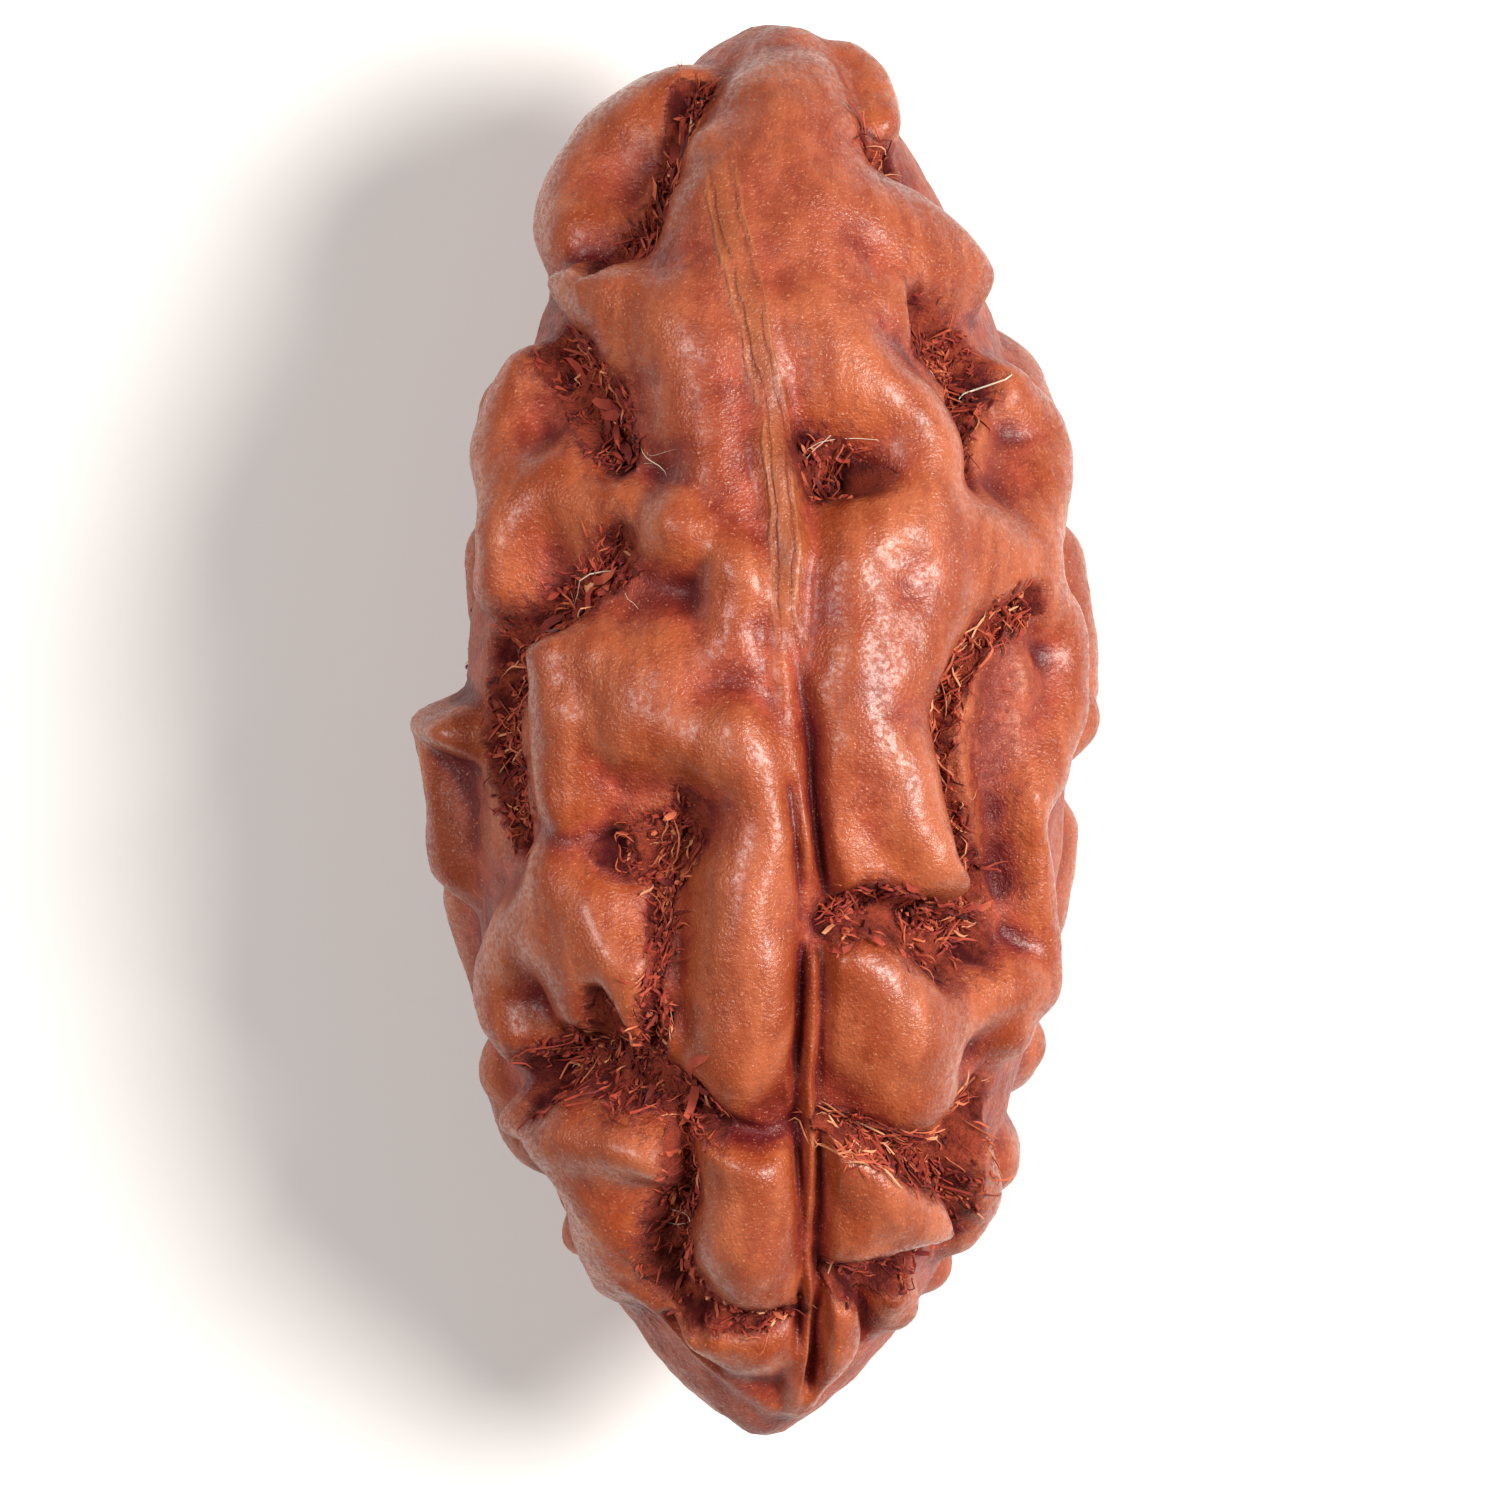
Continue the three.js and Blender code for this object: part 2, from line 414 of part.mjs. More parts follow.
const shell = new THREE.Mesh(standOnOrigin(wearFlats(makeRidgedShell())), polishedShell);
shell.name = 'walnut_shell';

const walnut = new THREE.Group();
walnut.add(shell);

export default walnut;
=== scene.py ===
# %% [markdown]
# # A polished walnut
# This lesson models one long, pointed walnut, whole in its shell. It is a kind that grows with
# deep pits and sharp lobes, and that people roll in the hand for years until the lobes shine.
# The CAD model holds its true shape and size at a coarse grain. Here the same shape is made again
# with a fine grain, and it gets what only a close look shows: the shreds of dried husk in the
# pits, the seam's fine lines, and the finish of the polished shell.

import math

import bpy
import numpy as np
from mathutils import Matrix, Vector
from mathutils.noise import fractal


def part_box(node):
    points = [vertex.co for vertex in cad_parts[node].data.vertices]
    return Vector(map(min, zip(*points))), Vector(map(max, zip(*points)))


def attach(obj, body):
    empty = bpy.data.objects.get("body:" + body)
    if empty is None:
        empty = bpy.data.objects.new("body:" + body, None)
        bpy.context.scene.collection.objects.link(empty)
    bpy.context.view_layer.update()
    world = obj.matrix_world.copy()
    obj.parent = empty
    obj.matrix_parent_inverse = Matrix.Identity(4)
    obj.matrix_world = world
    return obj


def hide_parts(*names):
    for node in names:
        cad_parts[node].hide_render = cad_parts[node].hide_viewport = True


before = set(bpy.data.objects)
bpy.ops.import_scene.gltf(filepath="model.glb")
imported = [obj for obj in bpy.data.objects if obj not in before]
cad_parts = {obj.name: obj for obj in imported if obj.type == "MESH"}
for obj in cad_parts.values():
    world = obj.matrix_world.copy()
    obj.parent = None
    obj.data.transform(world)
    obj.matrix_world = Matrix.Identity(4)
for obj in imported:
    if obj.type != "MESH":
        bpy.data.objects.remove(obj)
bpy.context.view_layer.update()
MM = 0.001

# %% [markdown]
# ## Camera
# The nut lies on its side, and the eye is straight above it. A long lens from over half a metre
# away keeps the shape nearly free of perspective, as in a drawing made to scale. The camera
# comes first, so that every later look at the work in progress has it.

# %% Camera
SENSOR = 36.0
LENS = 400.0
VIEW_WIDTH = 52.8 * MM
VIEW_CENTRE = (-0.18 * MM, -0.7 * MM)
NUT_AXIS = 11.2 * MM

camera_data = bpy.data.cameras.new("camera")
camera_data.lens = LENS
camera_data.sensor_width = SENSOR
camera_data.clip_start = 0.01
camera = bpy.data.objects.new("camera", camera_data)
bpy.context.scene.collection.objects.link(camera)
camera_distance = VIEW_WIDTH * LENS / SENSOR
camera.location = (*VIEW_CENTRE, NUT_AXIS + camera_distance)
bpy.context.scene.camera = camera
print("camera", round(camera_distance, 3), "m above the nut's axis")

# %% [markdown]
# ## How the shell is described
# A walnut's relief could be sculpted by hand, or made by noise. Noise never gives this nut's own
# lobes, and strokes of a brush can't be written down. So each lobe is a crest line laid on the
# nut: a few points, each with a half-width and a height in millimetres. A smooth spindle lies
# below them, at the level where the pits end. Pits are lines too, and their last value is the
# level of their bottom. Lines seen from above are given by x and y, and those round the sides
# and underneath by an angle from the top and y. They repeat what the CAD model says.

# %% Driving dimensions, mm
STEM_END = 23.4  # from the middle to the spindle's blunt end
TIP_END = 23.9  # from the middle to its pointed end
PIT_RADIUS = 9.4  # of the spindle, where the pits end
FLATTEN = 0.97  # the nut's height as a share of its width
WEB_HEIGHT = 1.15  # of the shell between lobes, above the spindle
CREST_LEVEL = 2.2  # the height at which all lines are laid out
BREADTH = 1.32  # how far a lobe's foot spreads past its half-width
MEETING_POWER = 6.5  # how sharp the valleys between lobes are
CURVE_STEPS = 5  # pieces of a smooth curve between two of its points


def above(points):
    return True, points


def around(points):
    return False, points


# %% Crest lines of the lobes: x or angle, y, half-width, height
LOBES = [
    # blunt head
    above([[1.4, 23.9, 2.7, 2], [1.2, 22, 3.2, 2.9], [0.9, 19.9, 3.6, 3], [0.5, 17.6, 3.7, 2.8],
      [0, 15.1, 3.6, 2.5]]),
    above([[3.2, 23.5, 1.4, 2.3], [4, 22.2, 1.5, 2.7], [4.2, 21, 1.3, 2.7]]),
    # right shoulder
    above([[2.3, 18.5, 2.8, 2.7], [4.6, 17.4, 2.6, 2.7], [6.7, 16.1, 1.9, 2.8], [7.5, 15.6, 1.2, 2.7]]),
    # round lobe behind the head, to the left
    above([[-3.7, 22.2, 2, 2.5], [-5.5, 20.9, 2.8, 3], [-6.7, 19, 2.8, 3.2], [-7, 17.3, 2.2, 3]]),
    # ridge to the left of the seam, its knuckle and its horn
    above([[-1.9, 18.1, 2.6, 2.6], [-2.3, 15.1, 2.9, 2.7], [-2.3, 12, 2.6, 2.6],
      [-1.7, 9.2, 2.2, 2.4], [-1.5, 7, 2, 2.4], [-1.2, 5.3, 1.8, 2.85], [-1.2, 3.2, 1.8, 2.4]]),
    above([[-3.2, 6.6, 1.9, 2.75]]),
    above([[-2.9, 13.6, 2.8, 2.7], [-4.8, 14.3, 2.3, 2.9], [-6.3, 14.9, 1.6, 3], [-7.1, 15.1, 1, 2.9]]),
    # lobe on the upper left edge and its web to the ridge
    above([[-9, 11.8, 1.7, 2.7], [-9.4, 9.9, 2, 3], [-9.1, 7.6, 2.2, 3.1], [-9.6, 5.3, 1.8, 2.9]]),
    above([[-8.1, 8.1, 2.2, 2.5], [-5.8, 7.6, 1.6, 2], [-3.5, 6.7, 1.8, 2.3]]),
    above([[-8.6, 12.5, 1.2, 2.5]]),
    # square block on the left, level with the middle
    above([[-7.6, 2.6, 1.6, 2.9], [-7.4, -0.4, 1.9, 2.8], [-7.2, -2.5, 1.7, 2.6]]),
    above([[-7, 2.6, 1.7, 2.8], [-4.8, 1.9, 2.2, 2.6], [-2.3, 1.9, 2, 2.4], [-0.5, 1.8, 1.7, 2.3]]),
    above([[-6.3, 0.4, 2.2, 2.7], [-4, 0.2, 2.5, 2.8], [-2.3, -0.5, 2.2, 2.7], [-1.2, -1.4, 2, 2.7]]),
    # long ridge to the left of the seam, lower half
    above([[-0.6, -0.5, 1.9, 3], [-0.4, -3.5, 1.9, 2.8], [-0.5, -6.3, 2.1, 3],
      [-0.9, -9.5, 2.5, 3], [-1.1, -11.7, 2.4, 2.7]]),
    # bean, edge lobe and bead on the lower left
    above([[-7.4, -5.6, 2.3, 2.8], [-6.4, -6.9, 2.5, 2.9], [-5.3, -8.6, 2.1, 2.9],
      [-4.8, -10.3, 1.5, 2.6]]),
    above([[-9.3, -7.4, 1.9, 2.5], [-9.6, -9.5, 2, 2.7], [-8.9, -11.1, 1.8, 2.7]]),
    above([[-8.5, -6.7, 2, 2.6], [-7.4, -8.3, 2.1, 2.7], [-6.9, -9.9, 1.7, 2.4]]),
    above([[-3.6, -11.3, 1.2, 2]]),
    # four lobes on the left of the tip
    above([[-8.6, -14.1, 1.2, 3], [-6.6, -14.5, 1.6, 3.3], [-4.3, -15.2, 1.4, 3.1]]),
    above([[-6.8, -15.1, 2.1, 3.1], [-6, -16.5, 2.5, 3], [-6, -18.2, 2.4, 2.6], [-6.4, -19.7, 1.6, 2]]),
    above([[-0.8, -15.4, 2.3, 2.9], [-0.7, -17.4, 2.4, 3], [-0.3, -19.5, 2, 2.8],
      [0.1, -20.5, 1.5, 2.3]]),
    above([[-2.3, -21.5, 1.7, 2.3], [-0.5, -22.3, 1.9, 2.3], [0.5, -22.5, 1.2, 2]]),
    above([[-5.3, -19.7, 1.1, 1.8], [-3.5, -21.4, 1.1, 1.6], [-1.4, -23.3, 1.1, 1.5],
      [0.4, -24.5, 1, 1.4]]),
    # hooked ridge to the right of the seam, upper half
    above([[1.8, 16.2, 2.8, 2.6], [2.1, 13.4, 2.6, 2.9], [3.8, 11.8, 2.3, 2.8],
      [5.6, 10.2, 2.2, 2.9], [5.6, 8.1, 1.8, 2.8], [4.4, 6.5, 1.8, 2.7]]),
    above([[4, 15.1, 2.4, 2.5]]),
    # plateau and edge lobe on the right
    above([[3.3, 6, 2.2, 2.7], [6.2, 6.5, 2.6, 2.8], [8.6, 5.6, 2.4, 2.7], [10.4, 4.2, 1.9, 2.6]]),
    above([[9, 11.8, 1.6, 2.5], [9.9, 10.2, 1.9, 2.8], [10, 8.1, 2.1, 2.8], [9.7, 6.3, 2.1, 2.7]]),
    # broad lobe on the right, level with the middle, with its small horn
    above([[3.3, 4.6, 2.6, 2.8], [3.6, 1.8, 2.7, 2.9], [4, -0.7, 2.5, 2.9], [4.7, -3, 2, 3.1],
      [5.9, -4.5, 1.5, 3.2], [6.9, -5, 1, 3.1]]),
    above([[2.5, -1.1, 1.3, 2.4], [2.8, -4, 1.7, 2.3], [4, -5.4, 1.7, 2.3], [5.6, -5.4, 1.3, 2.4]]),
    above([[5.8, 4.2, 2.4, 2.7], [5.3, 1.8, 2, 2.7]]),
    above([[9, 1.4, 2.3, 1.9], [8.6, -1.2, 2.2, 1.8], [8.8, -3.9, 1.9, 1.8]]),
    # ridge along the right edge
    above([[10.7, 3.2, 1.9, 2.6], [10.6, 1.1, 1.8, 2.7], [10.2, -1.1, 1.8, 2.7],
      [9.5, -3.5, 1.6, 2.6], [9.7, -5.6, 1.6, 2.5], [9.9, -7.4, 1.8, 2.5]]),
    around([[80, 0, 1.8, 2.5]]),
    # large round lobe below the middle and its arm to the right edge
    above([[3, -8.4, 1.8, 2.8], [4, -9.6, 2.6, 3], [5.2, -11.1, 3, 3.1], [5.5, -12.5, 2.4, 2.8]]),
    above([[5.3, -10.9, 2.4, 2.6], [7.6, -10.1, 1.8, 2.4], [9.6, -9, 1.8, 2.9]]),
    above([[9, -10.9, 1.6, 2.5]]),
    # lobes on the right of the tip
    above([[2.9, -15.6, 1.8, 2.8], [4, -16.1, 2.3, 3.1], [5.4, -17, 1.9, 3.1], [6.4, -17.6, 1.2, 3]]),
    above([[3.3, -18, 1.7, 2.6], [5.1, -18.5, 1.4, 2.5]]),
    above([[7.3, -15.3, 1.8, 2.4], [7.9, -16.7, 1.9, 2.5], [7.5, -18.1, 1.5, 2.2]]),
    above([[2.6, -20.6, 1.5, 2.4], [2.5, -22.2, 1.6, 2.3], [2.1, -23.6, 1.3, 2], [1.6, -24.6, 1, 1.6]]),
    above([[4.4, -20.1, 1.4, 2.3], [4.9, -21, 1.3, 2.2]]),
    # angular lobe on the left edge
    around([[-72, -0.3, 1, 3.1], [-88, -0.35, 1.1, 3.2], [-86, -2.4, 1.3, 2.8], [-86, -5, 1.9, 2.8]]),
    # strip beside the seam
    above([[-1.8, 20.1, 1.5, 2.5], [-1.3, 17.3, 1.5, 2.5], [-0.5, 13.7, 1.4, 2.5],
      [0.2, 10.6, 1.3, 2.4], [0.6, 7.4, 1.2, 2.4], [0.6, 3.9, 1.1, 2.3], [0.9, 1.1, 0.8, 2.2],
      [1.1, -2.1, 0.8, 2.2], [1.3, -6, 0.8, 2.1]]),
    above([[1.6, -8.1, 0.7, 2.1], [1.6, -14.1, 0.7, 2.1], [1.6, -21.8, 0.7, 2],
      [1.1, -24.5, 0.7, 1.5]]),
    # underside, right half
    around([[122, 17, 2, 2.4], [132, 18.5, 2.2, 2.7], [144, 17, 2, 2.6]]),
    around([[168, 21.5, 2.4, 2.4], [165, 17.5, 2.6, 2.8], [160, 13, 2.4, 2.7], [163, 9, 2.2, 2.7]]),
    around([[96, 11, 1.9, 2.6], [112, 12.5, 2.1, 2.7], [128, 11.5, 2, 2.7], [140, 8, 2, 2.7]]),
    around([[99, 1.5, 2, 2.6], [105, 6, 2.1, 2.6]]),
    around([[120, 5.5, 2, 2.7], [124, 1.5, 2.2, 2.8], [140, 0.5, 2, 2.6], [156, 3, 2.1, 2.7]]),
    around([[164, 5, 2.1, 2.7], [166, -0.5, 2.3, 2.8], [160, -5, 2.2, 2.8], [164, -8.5, 2, 2.6]]),
    around([[112, -3.5, 1.9, 2.5], [116, -7, 2.1, 2.7], [128, -6, 2, 2.6]]),
    around([[140, -4.5, 1.7, 2.5], [138, -8.5, 2, 2.7], [146, -12, 2, 2.7], [158, -12.5, 1.8, 2.5]]),
    around([[108, -11.5, 1.7, 2.4], [118, -12, 1.9, 2.6], [128, -11, 1.7, 2.5]]),
    around([[96, -16, 1.7, 2.4], [116, -15.5, 1.9, 2.6], [130, -16.5, 1.6, 2.4]]),
    around([[164, -15.5, 1.8, 2.6], [162, -19, 1.6, 2.3], [168, -21.5, 1.1, 1.8]]),
    around([[110, -19.5, 1.3, 2.1], [132, -20.5, 1.3, 2]]),
    # underside, left half
    around([[-118, 16, 2, 2.5], [-128, 15, 2.2, 2.7], [-138, 16.5, 2, 2.7]]),
    around([[-160, 20.5, 2.2, 2.6], [-162, 16, 2.4, 2.7], [-156, 11.5, 2.3, 2.8],
      [-162, 7.5, 2.1, 2.6]]),
    around([[-98, 11.5, 1.6, 2.5], [-112, 9.5, 2.1, 2.7], [-128, 10.5, 2, 2.7],
      [-140, 13.5, 1.8, 2.5]]),
    around([[-112, 6.5, 1.9, 2.5], [-120, 4, 2.1, 2.7], [-134, 5, 2.1, 2.7], [-145, 3, 1.9, 2.6]]),
    around([[-106, -0.5, 2, 2.6], [-122, -1.5, 2.1, 2.7], [-130, -5, 1.9, 2.7]]),
    around([[-163, 2.5, 2.2, 2.8], [-160, -2.5, 2.2, 2.7], [-150, -6.5, 2.1, 2.8],
      [-158, -10.5, 2.1, 2.6]]),
    around([[-104, -6, 2.1, 2.7], [-112, -9.5, 2.1, 2.7], [-128, -10, 1.9, 2.5]]),
    around([[-96, -12.5, 1.8, 2.5], [-108, -14.5, 1.9, 2.6], [-126, -14, 1.9, 2.7],
      [-140, -12.5, 1.7, 2.5]]),
    around([[-160, -14.5, 2, 2.7], [-158, -18, 1.7, 2.5], [-164, -21, 1.2, 2]]),
    around([[-112, -18.5, 1.5, 2.3], [-134, -18, 1.5, 2.3]]),
    around([[-128, 21, 1.7, 2.4]]),
]

# %% Lines of the pits and valleys: x or angle, y, half-width, level of the bottom
PITS = [
    above([[-2.6, 22.5, 0.5, 1.2], [-3.3, 20.8, 0.6, 0.8], [-4, 19, 0.8, 0.4],
      [-5, 17.4, 0.9, 0.1], [-5.9, 16, 0.8, 0.3]]),
    above([[5.2, 14.9, 0.7, 0.6], [6.7, 13.7, 1, 0.1], [8, 12.2, 1.1, 0]]),
    above([[8.1, 12.1, 0.9, 0], [7.7, 10.6, 0.7, -0.3], [7.5, 8.8, 0.6, 0.2]]),
    above([[1.7, 9.8, 0.7, 0.6], [2.4, 9, 1.1, -0.5], [3.6, 8.5, 0.9, -1.6]]),
    above([[-7.9, 13.5, 0.9, 0.3], [-6.7, 11.4, 1.3, -0.2], [-5.5, 9.4, 0.9, 0.3]]),
    above([[-5.5, 6.1, 0.8, 0.7], [-6.9, 4.9, 1.2, 0.1], [-8.7, 3.5, 1.2, -0.3],
      [-9.9, 1.6, 1.4, -0.3], [-10, -1.1, 1.3, -0.1], [-9.4, -3.7, 0.9, 0.2]]),
    above([[-9.8, 1.4, 1.2, -0.2], [-10.3, 2.8, 1, -0.2]]),
    above([[-5.6, -4.3, 0.7, 0.6], [-4.5, -4.6, 1.1, 0], [-3.5, -4.4, 1.1, -0.5],
      [-3.2, -3, 0.6, 0.4]]),
    above([[-3.5, -5.5, 0.8, 0.3], [-3.8, -7, 0.5, 0.8], [-4, -9.2, 0.4, 1.2], [-4, -11.6, 0.6, 0.6]]),
    above([[-8.3, -12.6, 1.1, -0.2], [-6.3, -12.1, 1.4, -0.4], [-4, -13, 1.1, 0],
      [-1.9, -13.9, 0.7, 0.4]]),
    above([[-5.5, -11.6, 1, 0], [-6, -9.9, 0.8, 0.4]]),
    above([[-1.9, -13.9, 0.6, 0.7], [1.2, -14.3, 0.5, 0.6]]),
    above([[-3.3, -14.6, 0.5, 0.6], [-3.2, -16.4, 0.6, 0.3], [-3.5, -18, 0.9, 0],
      [-3.7, -19.5, 1.1, -0.1], [-2.8, -20.7, 0.8, 0.3]]),
    above([[-2.3, -20.8, 0.7, 0.5], [-0.5, -21.2, 0.4, 1.1], [1.1, -21, 0.4, 1.1]]),
    above([[-4, -21.1, 0.5, 0.6], [-1.9, -22.9, 0.4, 0.9], [0.1, -23.8, 0.4, 0.9]]),
    above([[9.3, 4.2, 0.6, 1.1], [7.9, 2.7, 0.8, 0.3], [6.8, 0.9, 0.8, -0.2],
      [6.6, -1.4, 0.7, -0.2], [7.1, -3.7, 0.8, -0.2], [7.9, -5.6, 1, -0.1]]),
    above([[2.6, -6.8, 0.8, 0.4], [4.6, -7, 1.1, 0], [6.9, -7.6, 1.4, -0.2], [7.9, -8, 0.9, 0.1]]),
    above([[2, -14.2, 0.4, 0.8], [4, -14.7, 0.7, 0.4], [6.2, -15.4, 0.9, 0], [8.1, -13.7, 0.9, 0.3]]),
    above([[6.5, -15.3, 0.9, 0.2], [6.9, -18.1, 0.7, 0.4]]),
    above([[2.8, -19.5, 0.8, 0.3], [4.4, -19.2, 0.9, 0.2], [6.1, -18.7, 0.8, 0.4]]),
    above([[3.6, -20.1, 0.5, 0.7], [3.8, -21.9, 0.4, 0.9]]),
    # underside and flanks
    around([[150, 11, 0.8, 0.5], [151, 5.5, 0.9, 0.3], [147, -1.8, 0.9, 0.4]]),
    around([[-146, 9, 0.8, 0.5], [-148, 1.5, 0.9, 0.3], [-141, -2.8, 0.9, 0.4]]),
    around([[-96, 3.2, 0.7, 0.6], [-112, 1.8, 0.9, 0.4]]),
    around([[148, -15, 0.8, 0.5], [124, -14, 0.8, 0.5]]),
    around([[-146, -15, 0.8, 0.5], [-118, -12.2, 0.8, 0.5]]),
    # head groove
    above([[2, 23.5, 0.22, 2], [2.7, 22.5, 0.26, 1.8], [3.2, 21.3, 0.28, 1.7],
      [3.7, 20.4, 0.42, 1.2], [4.8, 19.7, 0.75, 0.4]]),
]
# broad hollows without shreds
HOLLOWS = [
    above([[9, 3.3, 1, 1.5], [8.4, 1.4, 1.3, 1.1], [8.2, -1.1, 1.4, 1], [8.6, -3.7, 1.4, 0.9],
      [8.7, -5.8, 1.2, 0.6]]),
]

# %% The grooves beside the fin of the upper seam, and the lower seam
SEAM_GROOVES = [
    above([[0.8, 3.2, 0.3, 2], [1.2, 1.4, 0.3, 1.6], [1.6, -0.4, 0.32, 1.1],
      [1.7, -2.5, 0.34, 0.9], [2, -4.6, 0.36, 0.6], [2.4, -6.2, 0.4, 0.4]]),
    above([[0.8, -2.1, 0.2, 1.8], [1.1, -4.6, 0.22, 1.4], [1.3, -7, 0.22, 1.2]]),
    above([[1.3, -7.9, 0.3, 1], [1.2, -11.3, 0.34, 0.7], [1.2, -14.4, 0.36, 0.7],
      [1.3, -21.8, 0.34, 0.9]]),
    above([[2, -7.4, 0.3, 1.3], [2, -14.1, 0.34, 1], [2, -19.7, 0.36, 0.9], [1.7, -23.6, 0.36, 0.9]]),
    # back seam
    around([[180, 19, 0.4, 1.6], [181, 8, 0.5, 1.4], [179, -6, 0.5, 1.2], [180, -20, 0.5, 0.9]]),
]
print(len(LOBES), "lobes,", len(PITS), "pits,", len(SEAM_GROOVES), "grooves")

# %% [markdown]
# ## The spindle
# The spindle is a curve turned round the long axis. Its outline is measured once as a fine
# polyline, so that places on it can be found by arc length or by their distance along the nut.

# %% The spindle's outline
OUTLINE_STEPS = 3000
STEM_TAPER = (1.8, 0.66)
TIP_TAPER = (2.1, 0.72)


def narrowing(reach, taper):
    """The spindle's radius as a share of its full one: 1 at the middle, 0 at an end."""
    fullness, sharpness = taper
    return np.clip(1 - reach**fullness, 0, 1) ** sharpness


turn = np.linspace(-0.5, 0.5, OUTLINE_STEPS + 1) * np.pi
reach = np.abs(np.sin(turn))
stem_side = np.sin(turn) > 0
outline_y = np.sin(turn) * np.where(stem_side, STEM_END, TIP_END)
narrowed = np.where(stem_side, narrowing(reach, STEM_TAPER), narrowing(reach, TIP_TAPER))
outline_r = PIT_RADIUS * narrowed
steps = np.hypot(np.diff(outline_y), np.diff(outline_r))
outline_arc = np.concatenate([[0], np.cumsum(steps)])
normal_r = np.gradient(outline_y, outline_arc)
normal_y = -np.gradient(outline_r, outline_arc)
normal_length = np.hypot(normal_r, normal_y)
normal_r = normal_r / normal_length
normal_y = normal_y / normal_length
crest_y = outline_y + CREST_LEVEL * normal_y
crest_r = outline_r + CREST_LEVEL * normal_r
print("the outline is", round(outline_arc[-1], 1), "mm long from tip to stem end")


def at_arc(arc, *columns):
    """Values of the outline's columns at a distance along it from the tip."""
    return [np.interp(arc, outline_arc, column) for column in columns]


def on_spindle(arc, angle, height):
    """Points in mm at a height above the spindle, before the nut is flattened."""
    y, r, ny, nr = at_arc(arc, outline_y, outline_r, normal_y, normal_r)
    radius = r + height * nr
    return np.stack([radius * np.sin(angle), y + height * ny, radius * np.cos(angle)], -1)


# %% [markdown]
# ## Crest lines in space
# A crest line's points are set on the crest level and joined by one smooth curve, so that lobes
# bend as grown things do. The distance from any place to a curve is a share of the half-width
# there: 0 on the line, 1 at the lobe's foot.

# %% Laying out a crest line and measuring from it
TINY = 1e-9  # keeps a division from failing where a length is nothing


def smooth(knots):
    """More points on a smooth curve through the given ones."""
    before = 2 * knots[0] - knots[1]
    after = 2 * knots[-1] - knots[-2]
    rows = np.vstack([before, knots, after])
    curve = []
    for a, b, c, d in zip(rows, rows[1:], rows[2:], rows[3:]):
        for t in np.arange(CURVE_STEPS) / CURVE_STEPS:
            bend = (2 * a - 5 * b + 4 * c - d) * t**2 + (3 * b - a - 3 * c + d) * t**3
            curve.append((2 * b + (c - a) * t + bend) / 2)
    return np.array(curve + [rows[-2]])


def lay_out(line):
    """A line's points in space, with its half-widths and last values."""
    seen_from_above, points = line
    knots = []
    for side, y, half_width, value in points:
        arc = np.interp(y, crest_y, outline_arc)
        radius = np.interp(arc, outline_arc, crest_r)
        if seen_from_above:
            angle = math.asin(max(-1, min(1, side / radius)))
        else:
            angle = math.radians(side)
        knots.append([*on_spindle(arc, angle, CREST_LEVEL), half_width, value])
    knots = np.array(knots)
    return smooth(knots) if len(knots) > 2 else knots


def nearest(places, curve, breadth=1.0):
    """Each place's distance from the curve as a share of the half-width, and the value there."""
    share = np.full(len(places), np.inf)
    value = np.zeros(len(places))
    reach = curve[:, 3].max() * breadth
    low = curve[:, :3].min(0) - reach
    high = curve[:, :3].max(0) + reach
    near = np.flatnonzero(np.all((places > low) & (places < high), axis=1))
    spans = list(zip(curve[:-1], curve[1:])) or [(curve[0], curve[0])]
    for start, end in spans:
        run = end[:3] - start[:3]
        offset = places[near] - start[:3]
        t = np.clip(offset @ run / max(run @ run, TINY), 0, 1)
        gap = np.linalg.norm(offset - t[:, None] * run, axis=1)
        here = gap / ((start[3] + (end[3] - start[3]) * t) * breadth)
        closer = here < share[near]
        share[near[closer]] = here[closer]
        value[near[closer]] = (start[4] + (end[4] - start[4]) * t)[closer]
    return share, value


lobe_curves = [lay_out(line) for line in LOBES]
pit_curves = [lay_out(line) for line in PITS]
hollow_curves = [lay_out(line) for line in HOLLOWS]
groove_curves = [lay_out(line) for line in SEAM_GROOVES]
print("longest crest line:", max(len(curve) for curve in lobe_curves), "points")

# %% [markdown]
# ## Which valleys hold husk
# Husk stays in a pit that is wide enough to have kept it from the rubbing hand. A narrow valley is
# clean, and a broad hollow is open to the hand, so it has only a weak stain. Each valley therefore
# comes with two marks: how much husk it shows, and how dark the margin round it is. That dark margin is
# a stain and painted shade in one.

# %% Valleys and their marks
HUSK_WIDTH = 0.65
PIT_MARKS = (1.0, 1.0)
HOLLOW_MARKS = (0.15, 0.55)
NO_MARKS = (0.0, 0.0)


def holds_husk(curve):
    return curve[:, 3].max() > HUSK_WIDTH


valleys = [(curve, *(PIT_MARKS if holds_husk(curve) else NO_MARKS)) for curve in pit_curves]
valleys += [(curve, *HOLLOW_MARKS) for curve in hollow_curves]
print(sum(holds_husk(curve) for curve in pit_curves), "pits hold husk")

# %% [markdown]
# ## The relief
# Where two lobes meet they run into one another, as a power mean does it: the higher the power,
# the sharper the valley between them. A gentle shift of every place keeps lobes from having
# drawn outlines, a slow swell keeps their tops from being flat, and noise frays the pits' edges.

# %% Wander, swell and profiles
WANDER = 0.24
RIPPLE = 0.07
FADING = 0.75
REFINING = 2.1


def wander(places):
    """The places, each shifted by slow waves and small ripples that run across one another."""
    x, y, z = places.T
    sin = np.sin
    return places + np.stack([
        WANDER * sin(0.83 * y + 0.6 * z + 0.3) + RIPPLE * sin(1.9 * y - 1.4 * x + 1.9),
        WANDER * sin(0.87 * x - 0.7 * z + 2.1) + RIPPLE * sin(1.8 * x + 1.6 * z + 0.4),
        WANDER * sin(0.91 * x + 0.6 * y + 4.0) + RIPPLE * sin(1.9 * y + 1.5 * x + 2.7),
    ], -1)


